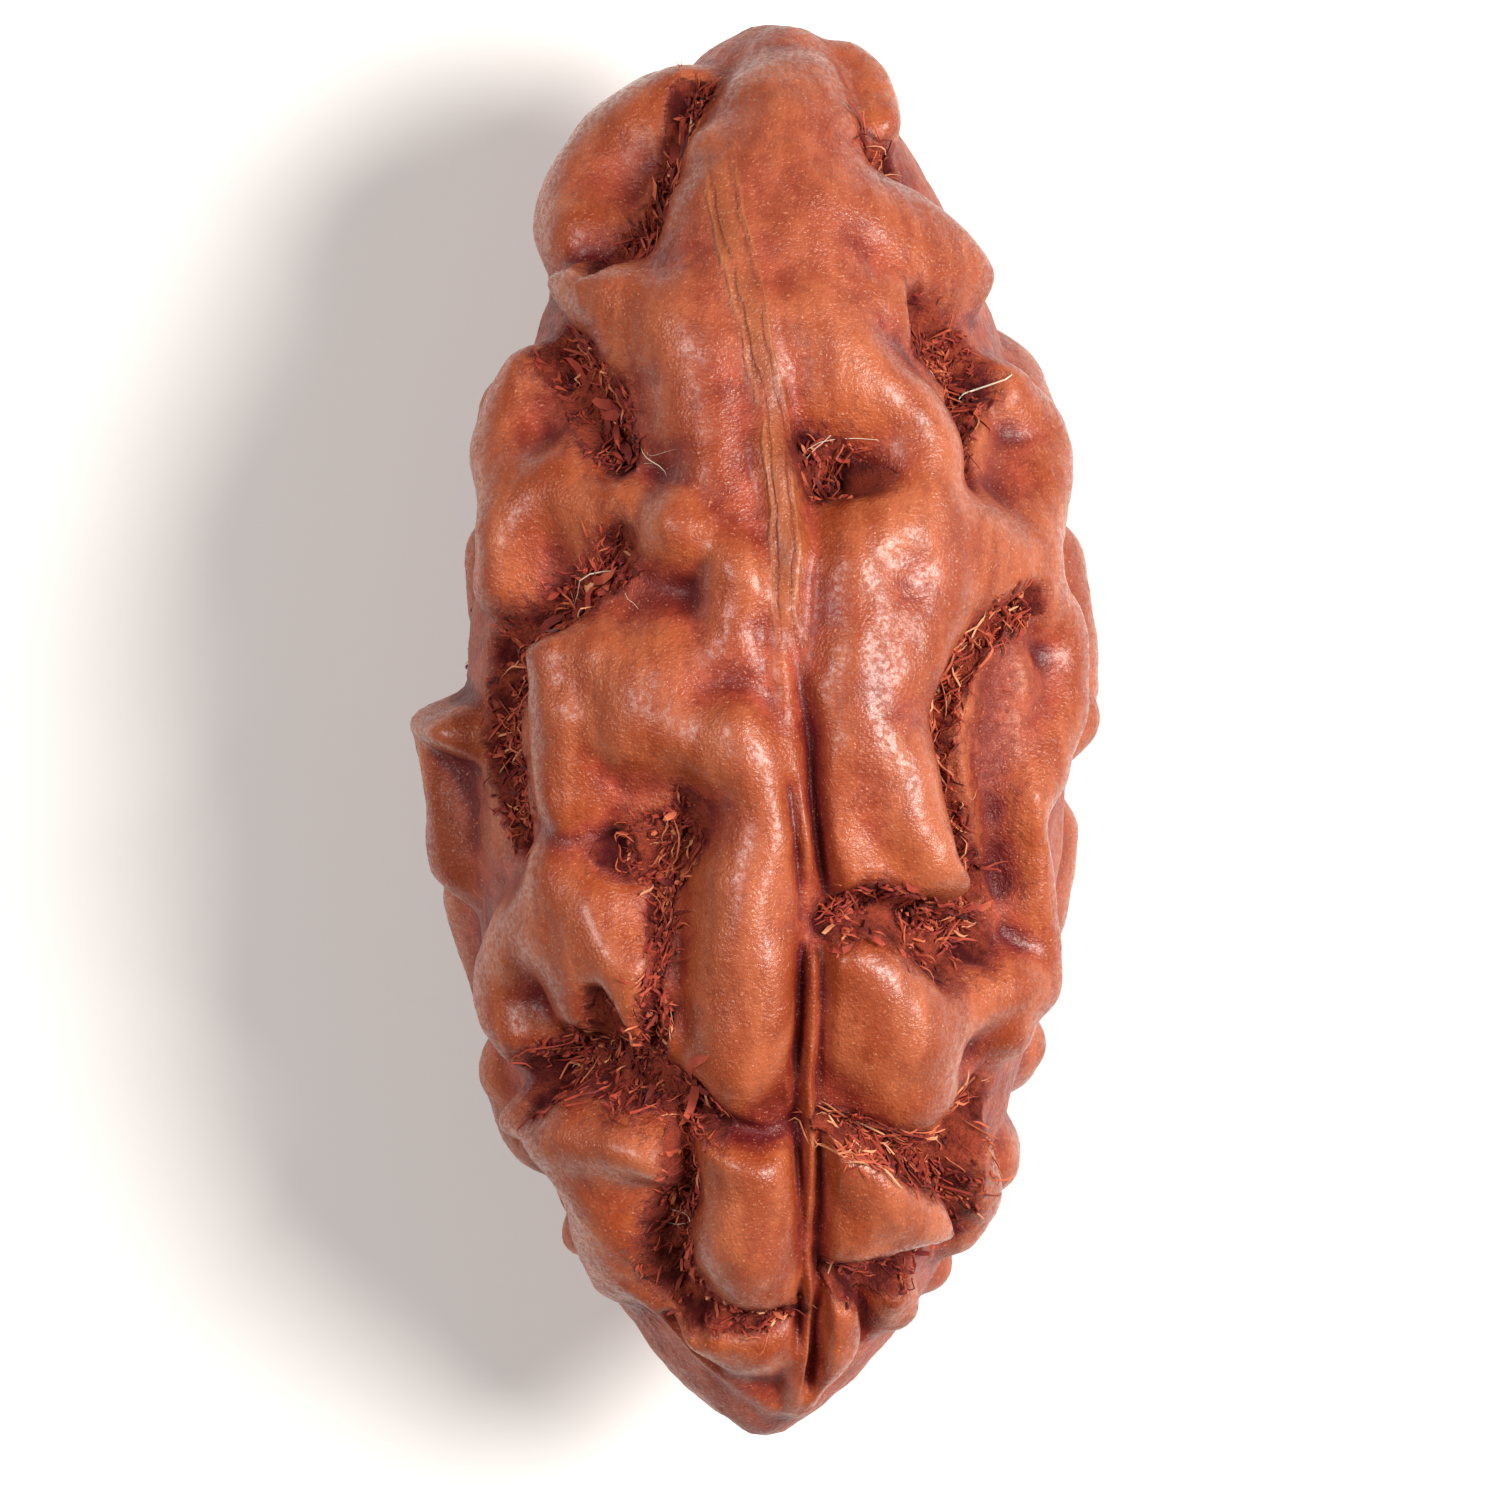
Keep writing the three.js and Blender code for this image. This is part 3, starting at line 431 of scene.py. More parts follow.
def swell(places):
    """Two crossing pairs of waves, between -1 and 1."""
    x, y, z = places.T
    first = np.sin(1.6 * x + 0.9 * y + 0.5) * np.sin(1.4 * y - 0.8 * z + 1.1)
    second = np.sin(1.5 * z + 1.1 * x + 2.0) * np.sin(1.2 * y + 0.4)
    return (first + second) / 2


def rise(share, power, sharpness):
    """A profile that is 1 on the line and 0 at the foot, steeper there at a higher power."""
    return np.clip(1 - np.minimum(share, 1) ** power, 0, 1) ** sharpness


def cloud(places, size, octaves=3):
    """Irregular values round 0, about as wide as the given size in mm."""
    return np.array([fractal(place, FADING, REFINING, octaves) for place in places / size])


# %% Relief
LOBE_PROFILE = (2.15, 1.05)
PIT_PROFILE = (2.4, 1.3)
HUSK_PROFILE = (2.4, 1.0)
HUSK_SPREAD = 1.15
STAIN_AND_SHADE_PROFILE = (1.2, 1.0)
STAIN_AND_SHADE_SPREAD = 2.0
GROOVE_PROFILE = (2, 1)
GROOVE_CUT = 0.8
SWELL = 0.1
FRAY = 0.30
FRAY_SIZE = 1.6


def relief(places):
    """Height above the spindle, share of husk, and share of the margin round pits that gets stain and
    painted shade.
    """
    shifted = wander(places)
    frayed = 1 + FRAY * cloud(places, FRAY_SIZE)
    total = np.full(len(places), WEB_HEIGHT**MEETING_POWER)
    for curve in lobe_curves:
        share, height = nearest(shifted, curve, BREADTH)
        total += (height * rise(share, *LOBE_PROFILE)) ** MEETING_POWER
    level = total ** (1 / MEETING_POWER) + SWELL * swell(shifted)
    pit = np.zeros(len(places))
    margin = np.zeros(len(places))
    for curve, husk, stain_and_shade in valleys:
        share, bottom = nearest(shifted, curve)
        share = share * frayed
        level += np.minimum(bottom - level, 0) * rise(share, *PIT_PROFILE)
        pit = np.maximum(pit, rise(share / HUSK_SPREAD, *HUSK_PROFILE) * husk)
        margin = np.maximum(margin, rise(share / STAIN_AND_SHADE_SPREAD, *STAIN_AND_SHADE_PROFILE) * stain_and_shade)
    for curve in groove_curves:
        share, bottom = nearest(places, curve)
        level += (bottom - level) * rise(share, *GROOVE_PROFILE) * GROOVE_CUT
    return level, pit, margin


# %% [markdown]
# ## A fine shell
# The start is a sphere with a few hundred meridians, because its poles are closed and its faces
# already point out. Every vertex is then carried to its own place on the nut. Meridians are
# drawn together on the upper side, where the eye is closest.

# %% The sphere and its grid
MERIDIANS = 400
RINGS = 248
CROWDING = 0.35

bpy.ops.object.select_all(action="DESELECT")
bpy.ops.mesh.primitive_uv_sphere_add(segments=MERIDIANS, ring_count=RINGS, radius=1)
shell = bpy.context.object
shell.name = "polished_walnut"
shell.data.name = "polished_walnut"
ball = np.empty(len(shell.data.vertices) * 3)
shell.data.vertices.foreach_get("co", ball)
ball = ball.reshape(-1, 3)
ring = np.rint((0.5 + np.arcsin(np.clip(ball[:, 2], -1, 1)) / np.pi) * RINGS).astype(int)
meridian = np.rint(np.arctan2(ball[:, 1], ball[:, 0]) / (2 * np.pi) * MERIDIANS).astype(int)
meridian = meridian % MERIDIANS
print(len(ball), "vertices,", 2 * MERIDIANS * (RINGS - 1), "triangles")

# %% Heights over the grid
EDGE_PASSES = 2

spread = np.arange(MERIDIANS) / MERIDIANS * 2 * np.pi
spread = spread - CROWDING * np.sin(spread)
grid_angle, grid_arc = np.meshgrid(spread, np.linspace(0, outline_arc[-1], RINGS + 1))
grid_places = on_spindle(grid_arc.ravel(), grid_angle.ravel(), CREST_LEVEL)
heights, pit_share, margin_share = [
    column.reshape(RINGS + 1, MERIDIANS) for column in relief(grid_places)
]


def soften(values, passes):
    """Each value moves towards its neighbours'."""
    for _ in range(passes):
        values = values / 2 + (np.roll(values, 1, 1) + np.roll(values, -1, 1)) / 4
        inner = values[1:-1] / 2 + (values[:-2] + values[2:]) / 4
        values = np.vstack([values[:1], inner, values[-1:]])
    return values


heights = soften(heights, EDGE_PASSES)
print("relief from", heights.min().round(2), "to", heights.max().round(2), "mm")

# %% [markdown]
# ## Roughness of the pits and evenness of the lobes
# The pits were never rubbed smooth, so their bottoms stay broken and crumbly. Fine crumbs and
# coarser lumps of noise make that, at full strength only where there is husk. Lobes get a trace
# of both, because a perfectly smooth lobe looks cast. Each pole is one point with one height.

# %% Crumbly pits
CRUMB_SIZE = 1.1
LUMP_SIZE = 2.6
LUMP_START = 7.0
IN_PITS = (0.52, 0.25)
ON_LOBES = (0.05, 0.05)

crumb = cloud(grid_places, CRUMB_SIZE, 4).reshape(heights.shape)
lumps = cloud(grid_places + LUMP_START, LUMP_SIZE, 2).reshape(heights.shape)
print("crumbs from", crumb.min().round(2), "to", crumb.max().round(2))
for share, (crumb_height, lump_height) in ((pit_share, IN_PITS), (1 - pit_share, ON_LOBES)):
    heights = heights + share * (crumb_height * crumb + lump_height * lumps)
for pole in (0, -1):
    heights[pole] = heights[pole].mean()

# %% [markdown]
# ## What the finish needs to know
# The colour and the shine follow the shape: crests are orange and glossy, slopes are pinker, pits are
# dark with husk, and folds and hollows get painted shade. So each vertex keeps a few numbers: its
# height, its height against the surroundings near and wide, its shares of husk and of stain with
# painted shade, its crumbs, and its way from the seam. The fine lines beside the seam fade out before
# the middle of the nut and at its head.

# %% The seam's course and the height against the surroundings
SEAM = [
    (-1.8, 20.4), (-1.3, 17.3), (-0.5, 13.7), (0.2, 10.6), (0.6, 7.4), (0.6, 3.9),
    (1.2, 1.1), (1.7, -2.1), (1.8, -6.0), (1.6, -9.5), (1.6, -21.8), (0.9, -24.6),
]
NO_SEAM = 9.0
LINES_FROM = 2
LINES_TO = 20.5
LINES_FADE = 3
NEAR_PASSES = 10
WIDE_PASSES = 60

seam_x, seam_y = np.array(SEAM[::-1]).T
grid_x, grid_y, grid_z = grid_places.T
across_seam = grid_x - np.interp(grid_y, seam_y, seam_x)
seam_offset = np.where(grid_z > 0, across_seam, NO_SEAM).reshape(heights.shape)
from_ends = np.minimum(grid_y - LINES_FROM, LINES_TO - grid_y)
seam_shown = np.clip(from_ends / LINES_FADE, 0, 1).reshape(heights.shape)
fold_share = heights - soften(heights, NEAR_PASSES)
crest_share = heights - soften(heights, WIDE_PASSES)
print("height against surroundings:", crest_share.min().round(2), "to", crest_share.max().round(2))

# %% Moving the sphere's vertices to the shell
grid_points = on_spindle(grid_arc.ravel(), grid_angle.ravel(), heights.ravel())
grid_points[:, 2] *= FLATTEN
places = grid_points.reshape(*heights.shape, 3)[ring, meridian]
cad_low, cad_high = [np.array(corner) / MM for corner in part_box("walnut_shell")]
middle_now = (places.min(0) + places.max(0)) / 2
middle_cad = (cad_low + cad_high) / 2
shift = np.array([*(middle_cad - middle_now)[:2], NUT_AXIS / MM])
places = places + shift
# what would lie below the floor is worn flat
places[:, 2] = np.maximum(places[:, 2], 0)
shell.data.vertices.foreach_set("co", (places * MM).ravel())
shell.data.update()
bpy.ops.object.shade_smooth()
print("shell", (places.max(0) - places.min(0)).round(2), "mm, shifted by", shift.round(2))

# %% Keeping the numbers on the vertices
FULL_HEIGHT = 3.0
CREST_SPAN = 2.0
CRUMB_SPAN = 2.0
FOLD_SPAN = 0.6


def keep(mesh, name, values):
    """Stores one number for each vertex of a mesh."""
    layer = mesh.attributes.new(name, "FLOAT", "POINT")
    layer.data.foreach_set("value", np.asarray(values, dtype=np.float32))


def about_half(values, span):
    """Values round 0 brought to between 0 and 1, with 0 at one half."""
    return np.clip(0.5 + values / span, 0, 1)


kept_numbers = {
    "height": heights / FULL_HEIGHT,
    "crest": about_half(crest_share, CREST_SPAN),
    "pit": pit_share,
    "margin": margin_share,
    "crumb": about_half(crumb, CRUMB_SPAN),
    "fold": about_half(fold_share, FOLD_SPAN),
    "seam_offset": seam_offset,
    "seam_shown": seam_shown,
}
for name, values in kept_numbers.items():
    keep(shell.data, name, values[ring, meridian])
print("each vertex keeps", ", ".join(kept_numbers))

# %% [markdown]
# ## Shreds of husk
# The pits hold what is left of the husk: red-brown crumbs and stiff fibres, matted along each
# valley, with loose ends that catch the light. One shred is a thin three-sided blade that tapers
# to both ends, a few dozen triangles at most, because there are thousands. Each starts near the
# bottom of a pit, runs roughly along it, bends, and lifts a little. Shreds stand in clumps: one
# cloudy noise turns, lifts and colours neighbours alike, and leaves bare patches where it is low.

# %% Growing shreds along a line of the nut
CLUMP_SIZE = 2.2
CLUMP_START = 3.0
CLUMP_TURN = 1.6
CLUMP_LIFT = 0.5
CLUMP_TONE = 0.25
FEWEST = 3
TURN_SPREAD = 0.5
LENGTH_RANGE = (0.5, 1.4)
WIDTH_RANGE = (0.5, 1.5)
LIFT_RANGE = (0.0, 1.6)
LIFT_MIDDLE = 0.5
LIFT_SPREAD = 0.5
TONE_SPREAD = 0.22
WAVE = 0.10
WAVE_TURN = 6.0

rng = np.random.default_rng(11)


def unwrap(near_crest):
    """Arc length and angle of places near the crest level."""
    arc = np.interp(near_crest[:, 1], crest_y, outline_arc)
    return arc, np.arctan2(near_crest[:, 0], near_crest[:, 2])


def unit(vectors):
    return vectors / np.maximum(np.linalg.norm(vectors, axis=-1), TINY)[..., None]


def sprout(curve, kind):
    """Courses of shreds over a line, still at the crest level, with their own numbers."""
    runs = curve[1:] - curve[:-1]
    lengths = np.linalg.norm(runs[:, :3], axis=1)
    area = lengths.sum() * curve[:, 3].mean() * 2
    count = max(FEWEST, int(area * kind["per_mm2"]))
    picks = rng.choice(len(runs), count, p=lengths / lengths.sum())
    start = curve[picks] + runs[picks] * rng.random(count)[:, None]
    run = unit(runs[picks, :3])
    arc, angle = unwrap(start[:, :3])
    up = unit(on_spindle(arc, angle, 1.0) - on_spindle(arc, angle, 0.0))
    side = unit(np.cross(up, run))
    stray = rng.uniform(-1, 1, count) * start[:, 3] * kind["stray"]
    root = start[:, :3] + side * stray[:, None]
    clump = cloud(root + CLUMP_START, CLUMP_SIZE, 2)
    turn_by = CLUMP_TURN * clump + TURN_SPREAD * rng.normal(0, 1, count)
    turn_by = np.radians(kind["fan"] * turn_by) + np.pi * rng.integers(0, 2, count)
    heading = run * np.cos(turn_by)[:, None] + side * np.sin(turn_by)[:, None]
    across = np.cross(up, heading)
    reach = kind["length"] * rng.uniform(*LENGTH_RANGE, count)
    bend = rng.normal(0, kind["curl"], count) * reach
    wave = rng.normal(0, WAVE, count) * reach
    course = []
    for joint in np.linspace(0, 1, kind["joints"]):
        sway = bend * joint**2 + wave * math.sin(joint * WAVE_TURN)
        course.append(root + heading * (reach * joint)[:, None] + across * sway[:, None])
    lift = rng.normal(LIFT_MIDDLE, LIFT_SPREAD, count) + CLUMP_LIFT * clump
    lift = kind["lift"] * np.clip(lift, *LIFT_RANGE)
    thickness = kind["half_width"] * rng.uniform(*WIDTH_RANGE, count)
    tone = kind["tone"] + TONE_SPREAD * rng.normal(0, 1, count) + CLUMP_TONE * clump
    own_line = kind["patchy"] is None
    wanted = np.full(count, True) if own_line else clump > -kind["patchy"]
    return np.stack(course, 1), lift, thickness, tone, reach, wanted, np.full(count, own_line)


# %% Laying shreds on the shell
BRIDGED_LEVEL = -0.7
BED_SHARE = 0.3
ARCH_TURN = 2.4
ROOT_DEPTH = 0.06
STEEPEST = 0.5
FREE_STEP = 0.06
ABOVE_FLOOR = 0.02


def settle(course, lift, reach):
    """Lays courses on the shell, arching over it and never climbing a wall steeply.

    Also says which of them have their root on husk. The deepest holes are bridged."""
    count, joints, _ = course.shape
    arc, angle = unwrap(course.reshape(-1, 3))
    level, pit, _ = relief(on_spindle(arc, angle, CREST_LEVEL))
    ground = np.maximum(level, BRIDGED_LEVEL).reshape(count, joints)
    bedded = pit.reshape(count, joints)[:, 0] > BED_SHARE
    joint = np.linspace(0, 1, joints)
    top = ground + lift[:, None] * np.sin(joint * ARCH_TURN) - ROOT_DEPTH
    step = STEEPEST * reach / (joints - 1) + FREE_STEP
    for k in range(1, joints):
        top[:, k] = np.minimum(top[:, k], top[:, k - 1] + step)
    laid = on_spindle(arc, angle, top.ravel()).reshape(count, joints, 3)
    laid[:, :, 2] *= FLATTEN
    laid = laid + shift
    laid[:, :, 2] = np.maximum(laid[:, :, 2], ABOVE_FLOOR)
    return laid, bedded


def grow(kinds, special=()):
    """Every kind in every pit with husk, then special kinds along their own lines."""
    beds = [curve for curve in pit_curves if holds_husk(curve)]
    batches = [sprout(bed, kind) for bed in beds for kind in kinds]
    batches += [sprout(lay_out(line), kind) for kind, lines in special for line in lines]
    columns = [np.concatenate(column) for column in zip(*batches)]
    courses, lifts, widths, tones, reaches, wanted, own_line = columns
    laid, bedded = settle(courses, lifts, reaches)
    kept = wanted & (bedded | own_line)
    print("kept", kept.sum(), "of", len(kept), "shreds")
    return laid[kept], widths[kept], tones[kept]


# %% [markdown]
# ## Kinds of shreds
# Lengths and widths are in millimetres, and the fan in degrees is how far a shred turns from its
# pit's line. Crumbs and flakes cover the bottom, the mat is the tangle of fibres on them, and
# wisps stand out of it. These four grow in every pit that holds husk. The last three, pale bast,
# torn strips of husk and single long hairs, lie only along lines of their own, so they are never
# patchy. A line's last value isn't used there.

# %% Kinds of shreds and the lines of the last three
CRUMB = {"per_mm2": 40.0, "length": 0.34, "fan": 80, "lift": 0.34, "half_width": 0.075,
         "curl": 0.3, "stray": 1.2, "tone": 0.50, "patchy": 0.60, "joints": 5}
FLAKE = {"per_mm2": 5.0, "length": 0.8, "fan": 40, "lift": 0.45, "half_width": 0.11,
         "curl": 0.2, "stray": 1.0, "tone": 0.54, "patchy": 0.30, "joints": 5}
MAT = {"per_mm2": 25.0, "length": 0.85, "fan": 40, "lift": 0.50, "half_width": 0.048,
       "curl": 0.4, "stray": 1.1, "tone": 0.60, "patchy": 0.30, "joints": 7}
WISP = {"per_mm2": 0.4, "length": 1.4, "fan": 50, "lift": 0.7, "half_width": 0.035,
        "curl": 0.6, "stray": 0.9, "tone": 0.95, "patchy": 0.2, "joints": 7}
BAST = {"per_mm2": 17.0, "length": 1.5, "fan": 16, "lift": 0.50, "half_width": 0.050,
        "curl": 0.15, "stray": 1.0, "tone": 0.86, "patchy": None, "joints": 7}
STRIP = {"per_mm2": 7.0, "length": 1.7, "fan": 12, "lift": 0.65, "half_width": 0.17,
         "curl": 0.12, "stray": 0.9, "tone": 0.58, "patchy": None, "joints": 7}
HAIR = {"per_mm2": 2.0, "length": 1.9, "fan": 30, "lift": 0.9, "half_width": 0.026,
        "curl": 0.8, "stray": 0.9, "tone": 2.4, "patchy": None, "joints": 7}
# valleys that still hold long pale strands of bast, laid along them
BAST_LINES = [
    above([[7.7, 2.3, 0.6, 0], [6.9, 0.9, 0.6, 0], [6.6, -1.1, 0.6, 0], [6.9, -2.8, 0.6, 0],
            [7.4, -4.6, 0.6, 0]]),
    above([[-3.3, 20.4, 0.4, 0], [-3.9, 18.5, 0.5, 0], [-5.1, 16.9, 0.6, 0]]),
    above([[2.2, -14.4, 0.4, 0], [4.4, -14.8, 0.7, 0], [6.5, -14.8, 0.9, 0], [8.3, -13.4, 0.9, 0]]),
    above([[6.5, -14.8, 0.5, 0], [7.5, -14.8, 0.5, 0], [8, -15.2, 0.4, 0]]),
]
# torn strips of husk, wide and stiff
STRIP_LINES = [
    above([[-3.2, 21.5, 0.25, 0], [-4, 19, 0.3, 0], [-5, 17.3, 0.4, 0], [-6, 16, 0.4, 0]]),
    above([[-7.4, 12.3, 0.4, 0], [-6, 10.6, 0.5, 0]]),
    above([[2.2, 9.7, 0.4, 0], [2.6, 8.5, 0.4, 0]]),
    above([[-2.9, -13.7, 0.4, 0], [-2.4, -12.3, 0.4, 0]]),
    above([[-8.3, 3.7, 0.5, 0], [-6.3, 5.1, 0.5, 0]]),
]
# single pale hairs
HAIR_LINES = [
    above([[-4.4, -17.5, 0.5, 0], [-3.5, -17.9, 0.5, 0], [-2.8, -18.3, 0.5, 0]]),
    above([[7.7, 12.1, 0.4, 0], [8.7, 12.6, 0.4, 0]]),
    above([[-5.5, 9.8, 0.4, 0], [-4.7, 9.4, 0.4, 0]]),
    above([[1.3, 9.2, 0.3, 0], [1.8, 9.8, 0.3, 0]]),
    above([[-6.3, 5.5, 0.4, 0], [-5.5, 4.9, 0.4, 0]]),
]

# %% Blades round the courses
CORNERS = 3
THINNESS = 0.6
TILT = 0.35
LENGTHWISE_LEAN = 0.25
TAPER_START = 0.12
TAPER_END = 0.92


def blade_faces(joints):
    """The faces of one blade: a fan at each point, and quads between its rings of corners."""
    last_ring = 1 + (joints - 3) * CORNERS
    end_point = last_ring + CORNERS
    faces = []
    for corner in range(CORNERS):
        following = (corner + 1) % CORNERS
        faces.append((0, 1 + following, 1 + corner))
        for base in range(1, last_ring, CORNERS):
            upper = base + CORNERS
            faces.append((base + corner, base + following, upper + following, upper + corner))
        faces.append((last_ring + corner, last_ring + following, end_point))
    return faces


def blade_points(paths, half_widths):
    """Each blade's points: its root, its rings of corners, its tip."""
    along = unit(np.gradient(paths, axis=1))
    outward = paths - np.array([0, 0, NUT_AXIS / MM])
    outward[:, :, 1] *= LENGTHWISE_LEAN
    outward = unit(outward) + rng.normal(0, TILT, (len(paths), 1, 3))
    across = unit(np.cross(outward, along))
    up = np.cross(along, across)
    joints = paths.shape[1]
    taper = np.sin(np.linspace(TAPER_START, 1, joints) * np.pi * TAPER_END)[None, 1:-1]
    reach_out = half_widths[:, None] * taper
    corners = []
    for corner in range(CORNERS):
        angle = corner * 2 * np.pi / CORNERS
        wide = across[:, 1:-1] * (reach_out * math.cos(angle))[:, :, None]
        thick = up[:, 1:-1] * (reach_out * THINNESS * math.sin(angle))[:, :, None]
        corners.append(paths[:, 1:-1] + wide + thick)
    rings = np.stack(corners, 2).reshape(len(paths), -1, 3)
    return np.concatenate([paths[:, :1], rings, paths[:, -1:]], 1)


def make_blades(name, paths, half_widths, tones):
    """One mesh of tapered blades, with the tone of each and the way from its root to its tip."""
    count, joints, _ = paths.shape
    points = blade_points(paths, half_widths)
    per_blade = points.shape[1]
    one_blade = blade_faces(joints)
    faces = []
    for first in range(0, count * per_blade, per_blade):
        faces += [tuple(first + corner for corner in face) for face in one_blade]
    mesh = bpy.data.meshes.new(name)
    mesh.from_pydata((points.reshape(-1, 3) * MM).tolist(), [], faces)
    mesh.update()
    joint = np.concatenate([[0], np.repeat(np.arange(1, joints - 1), CORNERS), [joints - 1]])
    keep(mesh, "tone", np.repeat(tones, per_blade))
    keep(mesh, "tip", np.tile(joint / (joints - 1), count))
    blades = bpy.data.objects.new(name, mesh)
    bpy.context.scene.collection.objects.link(blades)
    mesh.calc_loop_triangles()
    print(name, len(mesh.loop_triangles), "triangles")
    return blades


# %% Husk in the pits
crumbs = make_blades("husk_crumbs", *grow((CRUMB, FLAKE)))
special = ((BAST, BAST_LINES), (STRIP, STRIP_LINES), (HAIR, HAIR_LINES))
fibres = make_blades("husk_fibres", *grow((MAT, WISP), special))

# %% [markdown]
# ## Shader arithmetic
# A finish is worked out from numbers that change over the surface. Written as nodes that takes
# dozens of calls, so a small class lets a socket be added, subtracted and multiplied like a
# number. Everything else is one method that adds a node.

# %% A socket that can be used in sums
class Wire:
    def __init__(self, recipe, socket):
        self.recipe = recipe
        self.socket = socket

    def maths(self, operation, first, second):
        return self.recipe.add("ShaderNodeMath", {"operation": operation}, {0: first, 1: second})

    def __add__(self, other):
        return self.maths("ADD", self, other)

    def __radd__(self, other):
        return self.maths("ADD", other, self)

    def __sub__(self, other):
        return self.maths("SUBTRACT", self, other)

    def __rsub__(self, other):
        return self.maths("SUBTRACT", other, self)

    def __mul__(self, other):
        return self.maths("MULTIPLY", self, other)

    def __rmul__(self, other):
        return self.maths("MULTIPLY", other, self)


# %% A recipe for a material
class Recipe:
    """A material under construction."""

    def __init__(self, name):
        self.material = bpy.data.materials.new(name)
        self.material.use_nodes = True
        self.tree = self.material.node_tree
        self.shader = self.tree.nodes["Principled BSDF"]

    def feed(self, socket, value):
        if isinstance(value, Wire):
            self.tree.links.new(value.socket, socket)
        else:
            socket.default_value = value

    def finish(self, **inputs):
        """Feeds the shader's own sockets, with _ for a space in a socket's name."""
        for name, value in inputs.items():
            self.feed(self.shader.inputs[name.replace("_", " ")], value)
        return self.material

    def add(self, kind, settings=None, inputs=None, output=0):
        """Adds a node: its settings first, then values or wires for its sockets."""
        node = self.tree.nodes.new(kind)
        for name, value in (settings or {}).items():
            if name == "stops":
                self.set_stops(node.color_ramp, value)
            else:
                setattr(node, name, value)
        for key, value in (inputs or {}).items():
            self.feed(node.inputs[key], value)
        return Wire(self, node.outputs[output])

    def set_stops(self, ramp, stops):
        while len(ramp.elements) < len(stops):
            ramp.elements.new(0.5)
        for element, (position, colour) in zip(ramp.elements, stops):
            element.position = position
            element.color = colour

    def number(self, name):
        """A number kept on the vertices."""
        return self.add("ShaderNodeAttribute", {"attribute_name": name}, output=2)

    def place(self):
        """Object coordinates."""
        return self.add("ShaderNodeTexCoord", output=3)

    def stretch(self, vector, scale):
        return self.add("ShaderNodeMapping", {}, {"Vector": vector, "Scale": scale})

    def noise(self, vector, size_mm, detail=3, roughness=0.55):
        inputs = {"Vector": vector, "Scale": 1 / (size_mm * MM), "Detail": detail}
        inputs["Roughness"] = roughness
        return self.add("ShaderNodeTexNoise", {}, inputs)

    def pebbles(self, vector, size_mm):
        inputs = {"Vector": vector, "Scale": 1 / (size_mm * MM)}
        return self.add("ShaderNodeTexVoronoi", {"feature": "SMOOTH_F1"}, inputs)

    def between(self, value, low, high, to_low=0.0, to_high=1.0):
        """Brings a range of values to another, held at its ends, without a kink."""
        inputs = {0: value, 1: low, 2: high, 3: to_low, 4: to_high}
        return self.add("ShaderNodeMapRange", {"interpolation_type": "SMOOTHSTEP"}, inputs)

    def near(self, value, middle, reach):
        """1 where the value is at the middle, falling to 0 at the reach on both sides."""
        gap = self.add("ShaderNodeMath", {"operation": "ABSOLUTE"}, {0: value - middle})
        return self.between(gap, 0.0, reach, 1.0, 0.0)

    def mix(self, share, first, second):
        """A colour between two colours."""
        inputs = {0: share, 6: first, 7: second}
        return self.add("ShaderNodeMix", {"data_type": "RGBA"}, inputs, output=2)

    def bump(self, height, depth_mm, strength=1.0, normal=None):
        inputs = {"Height": height, "Distance": depth_mm * MM, "Strength": strength}
        if normal:
            inputs["Normal"] = normal
        return self.add("ShaderNodeBump", {}, inputs)


def paint(code):
    """A colour for the shader from its six-digit code."""
    parts = [int(code[i:i + 2], 16) / 255 for i in (0, 2, 4)]
    linear = [p / 12.92 if p < 0.04045 else ((p + 0.055) / 1.055) ** 2.4 for p in parts]
    return (*linear, 1)


# %% [markdown]
# ## The polished shell
# Years of rubbing have filled the crests with oil and made them glow orange-brown, with a pinker, drier
# skin on the slopes where fingers reach less. A dark red stain spreads from each pit over its edge,
# laid together with painted shade that falls towards the pit, and painted shade darkens the folds and
# hollows between lobes. The highest crests get a painted pale sheen, and pale specks on the skin are
# painted glints. Under the polish run faint lengthwise fibres, and the whole skin is finely pitted,
# which breaks each highlight into grains. The finish is put together from three colours made on their
# own: the skin, the fine lines beside the seam, and the husk.

# %% Finish: the skin
STRAND_STRETCH = (1, 0.16, 1)


def skin_colour_and_sheen(r, at, height, crest, blotches, grain, skin):
    """Orange crests and rose slopes with fibres and grain, and a painted pale sheen on the highest
    crests.
    """
    clouds = r.noise(at, 5.0, 3)
    strands = r.noise(r.stretch(at, STRAND_STRETCH), 1.1, 3, 0.5)
    orange = r.mix(r.between(strands, 0.36, 0.66), paint("8e3b1c"), paint("a95634"))
    rose = r.mix(r.between(blotches, 0.35, 0.65), paint("7b2a1c"), paint("a34833"))
    slope = r.between(crest + 0.22 * (blotches - 0.5) + 0.16 * (clouds - 0.5), 0.40, 0.60)
    colour = r.mix(slope, rose, orange)
    colour = r.mix(r.between(grain, 0.46, 0.72) * 0.40, colour, paint("6e210f"))
    colour = r.mix(r.between(skin, 0.58, 0.76) * 0.30, colour, paint("cb7a4c"))
    # painted sheen: the highest crests are mixed towards pale pink, as a lit sheen looks
    painted_sheen = r.between(height + 0.3 * (blotches - 0.5), 0.74, 1.06)
    return r.mix(painted_sheen * 0.09, colour, paint("cb8d72"))


# %% Finish: the seam's fine lines
SEAM_MIDDLE = 0.05
WOBBLE_STRETCH = (1, 0.25, 1)


